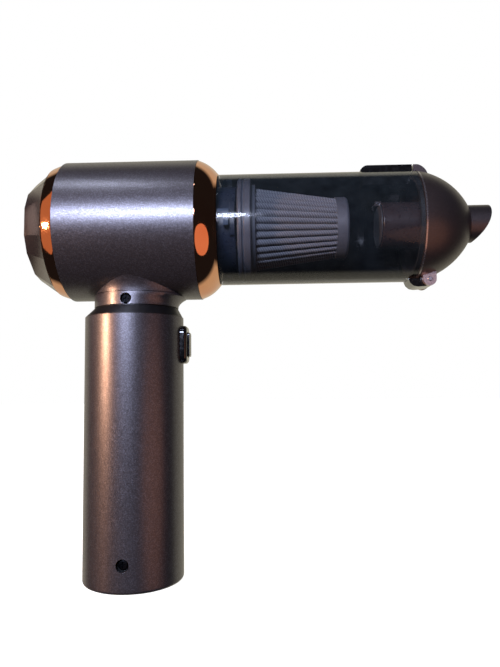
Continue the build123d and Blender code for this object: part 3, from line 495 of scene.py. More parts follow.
class Recipe:
    """A material under construction: its tree, its shader and its Object coordinates."""

    def __init__(self, name: str, **shader: Any) -> None:
        """Starts a material with a Principled shader.

        Args:
            name: The finish's name.
            **shader: Shader inputs, with _ for a space.
        """
        self.material = bpy.data.materials.new(name)
        self.material.use_nodes = True
        self.tree = self.material.node_tree
        self.shader = self.tree.nodes["Principled BSDF"]
        for key, value in shader.items():
            self.shader.inputs[key.replace("_", " ")].default_value = value
        self.place = add_node(self.tree, "ShaderNodeTexCoord").outputs["Object"]

    def add(self, kind: str, settings: dict[Any, Any] | None = None,
            links: dict[Any, Any] | None = None) -> bpy.types.Node:
        """Adds a node to this material."""
        return add_node(self.tree, kind, settings, links)

    def noise(self, size: float, detail: float = 2.0, place: Any = None) -> Any:
        """Cloudy noise whose blots are about size metres across."""
        links = {"Vector": place or self.place}
        return self.add("ShaderNodeTexNoise", {"Scale": 1 / size, "Detail": detail}, links).outputs["Fac"]

    def ramp(self, value: Any, low: Any, high: Any, start: float = 0.3, end: float = 0.7) -> Any:
        """Maps a value to a colour or a number between two ends.

        Args:
            value: The socket to map.
            low: The colour or number at the start.
            high: The colour or number at the end.
            start: The value that gives low.
            end: The value that gives high.

        Returns:
            The ramp's output socket.
        """
        node = self.add("ShaderNodeValToRGB", links={"Fac": value})
        grey = [(v, v, v, 1.0) if isinstance(v, float) else v for v in (low, high)]
        for element, position, colour in zip(node.color_ramp.elements, (start, end), grey):
            element.position = position
            element.color = colour
        return node.outputs["Color"]

    def mix(self, factor: Any, first: Any, second: Any, blend: str = "MIX") -> Any:
        """Mixes two colours.

        Args:
            factor: The second colour's share, a socket or a number.
            first: A socket or a colour.
            second: A socket or a colour.
            blend: Blender's name for the way they blend.

        Returns:
            The mixed colour's socket.
        """
        node = self.add("ShaderNodeMix", {"data_type": "RGBA", "blend_type": blend})
        for index, source in ((0, factor), (6, first), (7, second)):
            if isinstance(source, bpy.types.NodeSocket):
                self.tree.links.new(source, node.inputs[index])
            else:
                node.inputs[index].default_value = source
        return node.outputs[2]

    def math(self, operation: str, first: Any, second: Any = 0.0, third: Any = 0.0) -> Any:
        """One arithmetic step.

        Args:
            operation: Blender's name for the step.
            first: A socket or a number.
            second: A socket or a number.
            third: A socket or a number, for a step that takes three.

        Returns:
            The result's socket.
        """
        node = self.add("ShaderNodeMath", {"operation": operation})
        for index, source in enumerate((first, second, third)):
            if isinstance(source, bpy.types.NodeSocket):
                self.tree.links.new(source, node.inputs[index])
            else:
                node.inputs[index].default_value = source
        return node.outputs[0]

    def wave(self, spacing: float, axis: str, distortion: float = 0.0) -> Any:
        """Even bands, spacing metres apart, square to an axis."""
        # a wave texture of scale s repeats every pi / 10 / s
        settings = {"bands_direction": axis, "Scale": math.pi / 10 / spacing, "Distortion": distortion}
        return self.add("ShaderNodeTexWave", settings, {"Vector": self.place}).outputs["Fac"]

    def relief(self, height: Any, depth: float, strength: float = 1.0) -> None:
        """Gives the shader a bump, on top of any it has.

        Args:
            height: The socket that says how high the surface is, 0 to 1.
            depth: The bump's depth, in metres.
            strength: How much of it shows.
        """
        node = self.add("ShaderNodeBump", {"Distance": depth, "Strength": strength}, {"Height": height})
        normal = self.shader.inputs["Normal"]
        if normal.is_linked:
            self.tree.links.new(normal.links[0].from_socket, node.inputs["Normal"])
        self.tree.links.new(node.outputs["Normal"], normal)

    def feed(self, name: str, source: Any) -> None:
        """Links a source to one of the shader's inputs."""
        self.tree.links.new(source, self.shader.inputs[name])


@dataclass(frozen=True)
class Finish:
    """A surface finish, made into a material once."""

    name: str
    colour: str

    def make(self) -> bpy.types.Material:
        """Builds the finish's material."""
        raise NotImplementedError

    def material(self) -> bpy.types.Material:
        """The finish's material, built the first time it is asked for."""
        return bpy.data.materials.get(self.name) or self.make()


@dataclass(frozen=True)
class FleckPaint(Finish):
    """Sprayed metallic paint: flakes of many tilts in a tinted coat, with a satin clear coat.

    Attributes:
        flake: The flakes' own colour.
        roughness: The satin sheen's spread.
        metal: The share of metal in the look.
        sparkle: How strongly single flakes stand out.
    """

    flake: str = "#8a8690"
    roughness: float = 0.36
    metal: float = 0.8
    sparkle: float = 0.5

    def make(self) -> bpy.types.Material:
        """Flakes are 0.03 mm on the real coat and drawn 0.35 mm, so that they show."""
        flake_size = 0.35 * MM
        coat = Recipe(self.name, Metallic=self.metal, Coat_Weight=0.25, Coat_Roughness=0.28)
        cells = coat.add("ShaderNodeTexVoronoi", {"Scale": 1 / flake_size}, {"Vector": coat.place})
        grain = coat.add("ShaderNodeSeparateColor", links={"Color": cells.outputs["Color"]})
        drift = coat.ramp(coat.noise(14 * MM, 3.0), 0.94, 1.0)
        base = coat.mix(coat.ramp(grain.outputs["Red"], 0.0, self.sparkle, 0.45, 1.0),
                        linear(self.colour), linear(self.flake))
        coat.feed("Base Color", coat.mix(1.0, base, drift, "MULTIPLY"))
        spread = coat.ramp(grain.outputs["Green"], self.roughness - 0.07, self.roughness + 0.07, 0.0, 1.0)
        coat.feed("Roughness", spread)
        coat.relief(grain.outputs["Blue"], 0.012 * MM, 0.5 * self.sparkle)
        coat.relief(coat.noise(0.9 * MM, 2.0), 0.012 * MM, 0.35)
        return coat.material


@dataclass(frozen=True)
class MirrorPlate(Finish):
    """Vacuum plated plastic: a mirror that shows the moulding's slight waviness and fine dust."""

    def make(self) -> bpy.types.Material:
        """Waves are some 9 mm long and a few thousandths deep; specks are 0.5 mm apart."""
        plate = Recipe(self.name, Metallic=1.0)
        haze = plate.ramp(plate.noise(0.5 * MM, 4.0), 0.045, 0.12, 0.45, 0.75)
        plate.feed("Roughness", haze)
        tint = plate.ramp(plate.noise(11 * MM), linear(self.colour), linear("#eab48c"), 0.2, 0.9)
        plate.feed("Base Color", tint)
        plate.relief(plate.noise(9 * MM, 1.0), 0.02 * MM, 0.35)
        return plate.material


@dataclass(frozen=True)
class Moulded(Finish):
    """Moulded plastic or rubber with a fine spark-eroded grain from its tool.

    Attributes:
        roughness: The surface's sheen.
        grain: Size of the tool grain, in metres.
        depth: Depth of the grain, in metres.
        coat: Weight of a gloss coat.
        worn: The lighter colour where hands rub it.
    """

    roughness: float = 0.5
    grain: float = 0.4 * MM
    depth: float = 0.02 * MM
    coat: float = 0.0
    worn: str = ""

    def make(self) -> bpy.types.Material:
        """Grain of a real mould is 0.1 to 0.4 mm, and is drawn at that size or twice it."""
        skin = Recipe(self.name, Coat_Weight=self.coat, Coat_Roughness=0.06, IOR=1.53)
        blots = skin.noise(9 * MM, 3.0)
        light = linear(self.worn or self.colour)
        skin.feed("Base Color", skin.ramp(blots, linear(self.colour), light, 0.35, 0.85))
        sheen = skin.ramp(skin.noise(2.2 * MM, 4.0), self.roughness - 0.06, self.roughness + 0.08)
        skin.feed("Roughness", sheen)
        skin.relief(skin.noise(self.grain, 3.0), self.depth, 0.6)
        return skin.material


@dataclass(frozen=True)
class WorkedMetal(Finish):
    """Bare metal with the marks of drawing, rolling or grinding along one axis.

    Attributes:
        roughness: The metal's sheen.
        axis: The axis that the marks lie square to.
        spacing: Distance between marks, in metres.
        stain: The colour of its duller patches.
    """

    roughness: float = 0.3
    axis: str = "X"
    spacing: float = 0.35 * MM
    stain: str = ""

    def make(self) -> bpy.types.Material:
        """Tool marks are under 0.1 mm apart on the real piece and drawn wider, so that they show."""
        metal = Recipe(self.name, Metallic=1.0)
        patches = metal.noise(5 * MM, 4.0)
        dull = linear(self.stain or self.colour)
        metal.feed("Base Color", metal.ramp(patches, linear(self.colour), dull, 0.4, 0.8))
        marks = metal.wave(self.spacing, self.axis, 2.5)
        metal.feed("Roughness", metal.ramp(marks, self.roughness - 0.05, self.roughness + 0.1, 0.1, 0.9))
        metal.relief(marks, 0.01 * MM, 0.5)
        return metal.material


@dataclass(frozen=True)
class BandedCore(Finish):
    """Something built of even layers or turns: a laminated core or a wound coil.

    Attributes:
        gap: The colour between layers.
        axis: The axis along which they are stacked.
        pitch: One layer's or wire's thickness, in metres.
        metal: The share of metal in the look.
    """

    gap: str = "#1a1a1a"
    axis: str = "X"
    pitch: float = 0.5 * MM
    metal: float = 1.0

    def make(self) -> bpy.types.Material:
        """One band for each layer, at its real thickness."""
        stack = Recipe(self.name, Metallic=self.metal, Roughness=0.38)
        bands = stack.wave(self.pitch, self.axis, 0.3)
        tone = stack.mix(stack.ramp(stack.noise(3 * MM), 0.0, 0.25), linear(self.colour), linear(self.gap))
        stack.feed("Base Color", stack.mix(stack.ramp(bands, 0.0, 1.0, 0.05, 0.4), linear(self.gap), tone))
        stack.relief(bands, 0.06 * MM, 0.8)
        return stack.material


@dataclass(frozen=True)
class OpenFoam(Finish):
    """Open-cell polyurethane foam: lighter struts, with painted shade darkening the pores between them."""

    pore: float = 0.9 * MM

    def make(self) -> bpy.types.Material:
        """Pores are about 0.9 mm, as in coarse exhaust foam."""
        foam = Recipe(self.name, Roughness=0.95)
        cells = foam.add("ShaderNodeTexVoronoi", {"Scale": 1 / self.pore}, {"Vector": foam.place})
        depth = cells.outputs["Distance"]
        # the pores darken towards their middles: painted shade in the hollows
        foam.feed("Base Color", foam.ramp(depth, linear("#050505"), linear(self.colour), 0.15, 0.6))
        foam.relief(depth, 0.5 * MM, 1.0)
        return foam.material


@dataclass(frozen=True)
class WovenFilter(Finish):
    """Washable filter cloth: a twill of polyester yarn, pressed into pleats.

    Attributes:
        yarn: Spacing of the twill's ridges, in metres.
        shade: The darker colour between yarns, painted shade in the hollows of the twill.
    """

    yarn: float = 0.95 * MM
    shade: str = "#565962"

    def make(self) -> bpy.types.Material:
        """Yarns are 0.4 mm apart on real cloth and drawn 0.95 mm, so that they show."""
        cloth = Recipe(self.name, Roughness=0.85, Sheen_Weight=0.25, Sheen_Roughness=0.5)
        lean = cloth.add("ShaderNodeMapping", {"Rotation": (0.0, math.radians(33), 0.0)},
                         {"Vector": cloth.place})
        settings = {"bands_direction": "X", "Scale": math.pi / 10 / self.yarn, "Distortion": 0.6}
        ridges = cloth.add("ShaderNodeTexWave", settings, {"Vector": lean.outputs["Vector"]}).outputs["Fac"]
        dust = cloth.ramp(cloth.noise(6 * MM, 4.0), 0.0, 0.35)
        yarn = cloth.mix(dust, linear(self.colour), linear("#77787d"))
        # the hollows between the ridges take the darker colour: painted shade
        cloth.feed("Base Color", cloth.mix(ridges, linear(self.shade), yarn))
        cloth.relief(ridges, 0.18 * MM, 0.8)
        cloth.relief(cloth.noise(0.35 * MM, 2.0), 0.05 * MM, 0.4)
        return cloth.material


@dataclass(frozen=True)
class SmokedWall(Finish):
    """One face of a smoked clear wall, seen from the side that it faces.

    The outer face lets much of the light through and the inner face little, so that the near
    wall shows what is inside; the inner face's finish is also darker, painted shade that keeps
    the far wall dark.

    Attributes:
        cover: How much the face hides when seen square on.
        edge: How much it hides at a grazing angle.
        behind: How much it hides when seen from behind.
    """

    cover: float = 0.4
    edge: float = 0.95
    behind: float = 0.0

    def make(self) -> bpy.types.Material:
        """Faint flow lines from the gate, 6 mm apart, and fine scratches show in the gloss."""
        wall = Recipe(self.name, IOR=1.55, Coat_Weight=0.2, Coat_Roughness=0.03)
        streaks = wall.noise(6 * MM, 2.0)
        wall.feed("Base Color", wall.ramp(streaks, linear(self.colour), linear("#12181c"), 0.3, 0.8))
        wall.feed("Roughness", wall.ramp(wall.noise(1.3 * MM, 5.0), 0.07, 0.2, 0.4, 0.8))
        facing = wall.add("ShaderNodeLayerWeight", {"Blend": 0.35}).outputs["Facing"]
        cover = wall.add("ShaderNodeMapRange", {"To Min": self.cover, "To Max": self.edge},
                         {"Value": facing}).outputs["Result"]
        turned = wall.add("ShaderNodeNewGeometry").outputs["Backfacing"]
        front = wall.math("MULTIPLY", cover, wall.math("SUBTRACT", 1.0, turned))
        wall.feed("Alpha", wall.math("MULTIPLY_ADD", turned, self.behind, front))
        wall.relief(wall.noise(16 * MM, 1.0), 0.02 * MM, 0.2)
        return wall.material


@dataclass(frozen=True)
class CircuitBoard(Finish):
    """Green solder mask over copper tracks, with bare pads."""

    def make(self) -> bpy.types.Material:
        """Tracks are 0.9 mm apart, laid along the board's length."""
        mask = Recipe(self.name, Roughness=0.32, Coat_Weight=0.4)
        tracks = mask.ramp(mask.wave(1.8 * MM, "Y", 1.5), 0.0, 1.0, 0.45, 0.55)
        mask.feed("Base Color", mask.mix(tracks, linear(self.colour), linear("#1d6b3c")))
        mask.relief(tracks, 0.05 * MM, 0.6)
        return mask.material


# cool grey metallic that sparkles finely under the strip light
PAINT = FleckPaint("gunmetal_fleck_paint", "#545154", "#7b7b83")
# warm dark brown with a tighter gloss, so that each facet reads by itself
CAP_PAINT = FleckPaint("bronze_cap_lacquer", "#5a514e", "#746b68", 0.2, 0.8, 0.2)
# near black brown with a broad soft sheen
NOSE_PAINT = FleckPaint("dark_bronze_satin_lacquer", "#4b4342", "#625a59", 0.42, 0.75, 0.22)
# orange copper mirror with crisp dark and bright bands
ROSE = MirrorPlate("rose_gold_plating", "#e2a07a")
# piano black with sharp small highlights
BLACK_GLOSS = Moulded("gloss_black_abs", "#0b0b0c", 0.16, coat=0.6, depth=0.004 * MM)
# even black with a dull edge highlight
BLACK_SATIN = Moulded("satin_black_abs", "#0f0f10", 0.38, worn="#161617")
# flat black that sets off the plated face
RUBBER = Moulded("black_seal_rubber", "#101011", 0.62, 0.3 * MM, worn="#1b1b1c")
# blue black tube seen through the smoked wall
SPIGOT = Moulded("blue_black_spigot_abs", "#232836", 0.3, 0.6 * MM, 0.01 * MM, 0.3, "#2c3244")
# smoky glass that lets the filter show
SMOKE_NEAR = SmokedWall("smoked_clear_outer_face", "#252d31", 0.4, 0.96, 0.93)
# the far side of the cup: a darker, near opaque copy of the smoked plastic, painted shade
SMOKE_FAR_PAINTED_SHADE = SmokedWall("smoked_clear_inner_face_painted_shade", "#0a0c11", 0.99, 1.0)
# pale blue grey on the clear ribs, a painted glint of thick clear plastic
SMOKE_RIB_PAINTED_GLINT = Moulded("smoked_clear_rib_painted_glint", "#566070", 0.14, coat=0.5, depth=0.004 * MM)
# brown shadow of the duct in the cup
DUCT = Moulded("smoked_duct_abs", "#2e2628", 0.3, 0.8 * MM, 0.01 * MM, 0.3, "#3a2f30")
# light grey ridges with slanting twill
FILTER_CLOTH = WovenFilter("pleated_twill_filter_cloth", "#8b8f99")
# matt lilac grey frame
FILTER_PLASTIC = Moulded("grey_lilac_filter_frame", "#50535c", 0.42, worn="#5b5e67")
# soft milky grey lips
FILTER_RUBBER = Moulded("translucent_grey_silicone", "#51555f", 0.34, coat=0.2, worn="#5f636d")
# small pale rose spots at the hinge
EAR_PLATE = FleckPaint("rose_satin_ear", "#b3a09e", "#cfc0be", 0.3, 0.6, 0.2)
# thin bright line where nose meets cup, a painted highlight on the lip
SEAM_LIP_PAINTED_HIGHLIGHT = FleckPaint("seam_lip_painted_highlight", "#a8a4a6", "#c8c6c8", 0.25, 0.9, 0.1)

# One finish for each of the record's material slots.
SLOT_FINISHES: dict[str, Finish] = {
    "shell_paint": PAINT, "rose_plate": ROSE, "cap_lacquer": CAP_PAINT, "nose_lacquer": NOSE_PAINT,
    "foam": OpenFoam("black_exhaust_foam", "#1c1c1d"), "seal_rubber": RUBBER,
    "flap_silicone": Moulded("smoke_flap_silicone", "#3a3a3e", 0.4, worn="#46464a"),
    "filter_silicone": FILTER_RUBBER, "black_abs": BLACK_SATIN, "ring_black": BLACK_SATIN,
    "smoke_duct": DUCT, "gloss_black": BLACK_GLOSS, "button_black": BLACK_GLOSS,
    "impeller_nylon": Moulded("glass_filled_nylon", "#d8d6cc", 0.5, 0.5 * MM, worn="#c9c6ba"),
    "zinc_steel": WorkedMetal("zinc_plated_steel", "#b9bcc0", 0.28, stain="#9a9c9a"),
    "bell_plastic": Moulded("motor_bell_nylon", "#e6e2d6", 0.5),
    "bronze": WorkedMetal("sintered_bronze", "#a9793f", 0.48, stain="#7d5a30"),
    "ferrite": Moulded("ferrite_magnet", "#2b2b2e", 0.55, 0.3 * MM, 0.03 * MM),
    "carbon": Moulded("carbon_brush", "#1c1d1f", 0.5, 0.2 * MM, 0.02 * MM, worn="#2d2e31"),
    "ground_steel": WorkedMetal("ground_steel_shaft", "#c6c8cb", 0.16, "X", 0.3 * MM),
    "lamination_steel": BandedCore("laminated_core_steel", "#8d8f92", "#3c3d3f", "X", 0.5 * MM),
    "enamelled_copper": BandedCore("enamelled_copper_wire", "#b5582c", "#4a1f10", "Y", 0.45 * MM),
    "copper": WorkedMetal("turned_copper", "#c77a52", 0.22, stain="#8d4f35"),
    # near black: painted shade for the dark down in the screw holes
    "screw_steel": WorkedMetal("near_black_screw_steel_painted_shade", "#161618", 0.5, "Z", stain="#0c0c0d"),
    "pin_steel": WorkedMetal("bright_pin_steel", "#c4bcc0", 0.25, "Y"),
    "spring_steel": WorkedMetal("music_wire", "#a8a9ac", 0.3, "Z"),
    "lead_pvc": Moulded("lead_pvc", "#8f1712", 0.38, coat=0.2),
    "cell_wrap": Moulded("cell_shrink_wrap", "#1d5fae", 0.24, 1.2 * MM, 0.03 * MM, 0.4, "#2469b6"),
    "nickel_strip": WorkedMetal("nickel_strip", "#b7b3aa", 0.3, "Y", 0.5 * MM),
    "board_green": CircuitBoard("green_solder_mask", "#0c4a28"),
    "switch_black": BLACK_SATIN,
    "socket_shell": WorkedMetal("nickel_plated_socket", "#b4b6ba", 0.25, "Z"),
    "light_lens": Moulded("frosted_light_lens", "#d9dde0", 0.3, coat=0.4),
    "smoke_clear": SMOKE_NEAR, "filter_frame": FILTER_PLASTIC, "filter_cap": FILTER_PLASTIC,
    "filter_paper": FILTER_CLOTH,
}


# ---------------------------------------------------------------- assembly base

@dataclass
class Assembly:
    """A sub-assembly whose pieces ride on one body of the frame."""

    body: str
    pieces: list[Piece] = field(default_factory=list, init=False)

    def add(self, piece: Piece, slot: str, *nodes: str, body: str = "",
            finishes: Sequence[Finish] = ()) -> Piece:
        """Dresses a finished piece and ties it to the frame.

        Args:
            piece: The finished mesh object.
            slot: The record's material slot.
            *nodes: CAD nodes that the piece stands for.
            body: The body it rides on, if not the assembly's own.
            finishes: Finishes in the order of the piece's material slots.

        Returns:
            The piece.
        """
        materials = [finish.material() for finish in finishes or (SLOT_FINISHES[slot],)]
        if len(finishes) < 2:
            piece.data.materials.clear()
        for index, material in enumerate(materials):
            if index < len(piece.data.materials):
                piece.data.materials[index] = material
            else:
                piece.data.materials.append(material)
        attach(piece, body or self.body)
        if nodes:
            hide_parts(*nodes)
        self.pieces.append(piece)
        LOG.info("%s: %d faces on %s", piece.name, len(piece.data.polygons), body or self.body)
        return piece


# ---------------------------------------------------------------- casing

@dataclass
class Casing(Assembly):
    """The painted drum with its plated rings, faceted rear cap, bezel and bayonet tube."""

    body: str = "main_body"
    shoulder: float = 0.6 * MM
    ring_length: float = 5.6 * MM
    ring_back_radius: float = 29.9 * MM
    sleeve: float = 3.0 * MM
    sleeve_wall: float = 1.6 * MM
    face_radius: float = 22.6 * MM
    cap_wall: float = 2.2 * MM
    facet_pairs: int = 7
    wide_facet: float = 31.0
    bezel_radius: float = 26.4 * MM
    bezel_wall: float = 2.5 * MM
    bezel_bore: float = 20.05 * MM
    lug_rise: float = 1.4 * MM
    lug_angle: float = 40.0
    lug_spacing: float = 120.0
    tube_radius: float = 20.0 * MM
    tube_bore: float = 18.2 * MM
    wire_hole: float = 8.0 * MM
    # each ring of slots: its middle and its length as shares of the face's radius, and its count
    slot_rings: tuple[tuple[float, float, int], ...] = ((0.37, 0.23, 10), (0.69, 0.26, 20))
    slot_half: float = 0.9 * MM

    def build(self) -> None:
        """Builds every piece of the casing."""
        self.drum()
        self.rear_ring()
        self.rear_cap()
        self.bezel()
        self.spigot()

    def drum(self) -> None:
        """The open tube, with rolled lips and the wire hole into the neck."""
        piece = HEAD.tube("painted_drum", BODY.back, BODY.front, BODY.radius, BODY_BORE)
        hole = GRIP.tube("wire_hole", HEAD_HEIGHT - BODY.radius - MM, HEAD_HEIGHT - BODY_BORE / 2,
                         self.wire_hole)
        soften(combine(piece, hole, Cut.AWAY), 0.25 * MM)
        self.add(piece, "shell_paint", "body_shell")

    def rear_ring(self) -> None:
        """The plated ring, crowned between two crisp edges, with a thin lip at the cap."""
        back = BODY.back - self.ring_length
        inner = BODY_BORE - self.sleeve_wall
        front_radius = BODY.radius - self.shoulder
        lip = 0.5 * MM
        crown = arc((BODY.back - 0.3 * MM, front_radius),
                    ((back + BODY.back) / 2, (front_radius + self.ring_back_radius) / 2 + 0.07 * MM),
                    (back + lip, self.ring_back_radius + 0.1 * MM), 8)
        outline = [(BODY.back, inner), (BODY.back, front_radius), *crown,
                   (back + lip, self.ring_back_radius - 0.15 * MM), (back, self.ring_back_radius - 0.15 * MM),
                   (back, inner)]
        piece = soften(HEAD.turn("rear_plated_ring", outline), 0.08 * MM, angle=40)
        self.add(piece, "rose_plate", "rear_ring")

    def rear_cap(self) -> None:
        """The faceted cap: wide and narrow flats by turns, with a slotted face."""
        cap = span("rear_cap")
        ring_back = BODY.back - self.ring_length
        outer = self.ring_back_radius - 0.3 * MM
        piece = draw("faceted_rear_cap", self.cap_corners(ring_back, outer), closed=True)
        bpy.ops.mesh.select_all(action="SELECT")
        bpy.ops.mesh.edge_face_add()
        depth = cap.back - ring_back
        bpy.ops.mesh.extrude_region_move(TRANSFORM_OT_translate={"value": (depth, 0, 0)})
        scale = self.face_radius / outer
        bpy.ops.transform.resize(value=(1, scale, scale), center_override=(cap.back, 0, HEAD_HEIGHT))
        finish_mesh(piece)
        hollow = HEAD.turn("hollow", [
            (cap.back + self.cap_wall, 0), (cap.back + self.cap_wall, self.face_radius - self.cap_wall),
            (ring_back + MM, outer - self.cap_wall), (ring_back + MM, 0)], closed=False)
        combine(piece, hollow, Cut.AWAY)
        combine(piece, self.grille(cap.back), Cut.AWAY)
        soften(piece, 0.22 * MM, angle=8)
        smooth(piece, 8)
        self.add(piece, "cap_lacquer", "rear_cap")

    def cap_corners(self, x: float, radius: float) -> list[Vector]:
        """The cap's corners at one end, with wide and narrow flats between them by turns.

        Args:
            x: Where the end stands along the head's axis.
            radius: The corners' distance from the axis.

        Returns:
            The corners in order, in the frame.
        """
        first_corner = -90 - self.wide_facet / 2
        corners = []
        for pair in range(self.facet_pairs):
            for turn in (0, self.wide_facet):
                angle = math.radians(first_corner + pair * 360 / self.facet_pairs + turn)
                corners.append(Vector((x, radius * math.sin(angle), HEAD_HEIGHT + radius * math.cos(angle))))
        return corners

    def grille(self, face: float) -> Piece:
        """The two rings of round-ended slots that the cap's face is cut with."""
        rings = []
        for number, (distance, length, count) in enumerate(self.slot_rings):
            start = HEAD_HEIGHT + self.face_radius * (distance - length / 2)
            end = HEAD_HEIGHT + self.face_radius * (distance + length / 2)
            outline = rounded((-self.slot_half, start), (self.slot_half, end), self.slot_half * 0.98, 4)
            slot = slab(f"slot_{number}", outline, face - MM, face + self.cap_wall + MM, "X")
            rings.append(ring_of(slot, count, HEAD.centre, HEAD.along))
        return join(rings)

    def bezel(self) -> None:
        """The plated cone in front, mirror bright, with a turned-in front face and its seal."""
        front = span("front_bezel").front
        shoulder = (BODY.front + 1.2 * MM, BODY.radius - self.shoulder)
        nose = (front - 0.6 * MM, self.bezel_radius)
        middle = (BODY.front + 0.6 * (front - BODY.front), self.bezel_radius + 2.9 * MM)
        outline = [
            (BODY.front - self.sleeve, BODY_BORE - self.sleeve_wall),
            (BODY.front - self.sleeve, BODY_BORE), (BODY.front, BODY_BORE),
            (BODY.front, BODY.radius - 0.3 * MM), (BODY.front + 0.35 * MM, BODY.radius - 0.3 * MM),
            *arc(shoulder, middle, nose, 12),
            (front, self.bezel_radius - 0.6 * MM), (front, CUP.radius - 0.4 * MM),
            (front - 1.2 * MM, CUP.radius - 0.4 * MM), (front - 1.2 * MM, CUP.radius - 1.9 * MM),
            (front, CUP.radius - 1.9 * MM), (front, self.bezel_bore),
            (front - self.bezel_wall, self.bezel_bore),
            (front - self.bezel_wall, self.bezel_radius - self.bezel_wall),
            (BODY.front + 0.6 * MM, BODY_BORE - self.sleeve_wall)]
        piece = soften(HEAD.turn("plated_bezel", outline), 0.1 * MM, angle=40)
        self.add(piece, "rose_plate", "front_bezel")
        seal = span("cup_seal")
        lip = [(seal.back, CUP.radius - 1.8 * MM), (seal.back, seal.radius),
               (seal.front - 0.1 * MM, seal.radius), (seal.front, seal.radius - 0.4 * MM),
               (seal.front - 0.3 * MM, seal.radius - 0.75 * MM), (seal.front, seal.radius - 1.1 * MM)]
        ring = soften(HEAD.turn("cup_seal_ring", lip), 0.05 * MM)
        self.add(ring, "seal_rubber", "cup_seal")

    def spigot(self) -> None:
        """The bayonet tube with its flange and three lugs."""
        tube = span("bayonet_spigot")
        outer, inner = self.tube_radius, self.tube_bore
        flange = tube.back + 1.4 * MM
        lug_back = tube.front - 2.6 * MM
        outline = [(tube.back, inner), (tube.back, BODY_BORE - 0.05 * MM), (flange, BODY_BORE - 0.05 * MM),
                   (flange, outer), (lug_back, outer), (tube.front - 0.3 * MM, outer),
                   (tube.front, outer - 0.3 * MM), (tube.front, inner)]
        piece = HEAD.turn("bayonet_tube", outline)
        bpy.ops.object.mode_set(mode="EDIT")

        def on_lug(face: Any) -> bool:
            """Whether a face lies on the tube's outside where a lug stands."""
            at_rim = lug_back < face.center.x < tube.front - 0.3 * MM
            outside = HEAD.radius(face.center) > outer - 0.2 * MM
            half = self.lug_spacing / 2
            turn = (HEAD.angle(face.center) - 90 + half) % self.lug_spacing - half
            return at_rim and outside and abs(turn) < self.lug_angle / 2

        pick(piece, on_lug)
        bpy.ops.mesh.extrude_region_shrink_fatten(TRANSFORM_OT_shrink_fatten={"value": self.lug_rise})
        finish_mesh(piece)
        soften(piece, 0.2 * MM)
        self.add(piece, "black_abs", "bayonet_spigot", finishes=(SPIGOT,))


# ---------------------------------------------------------------- dust cup

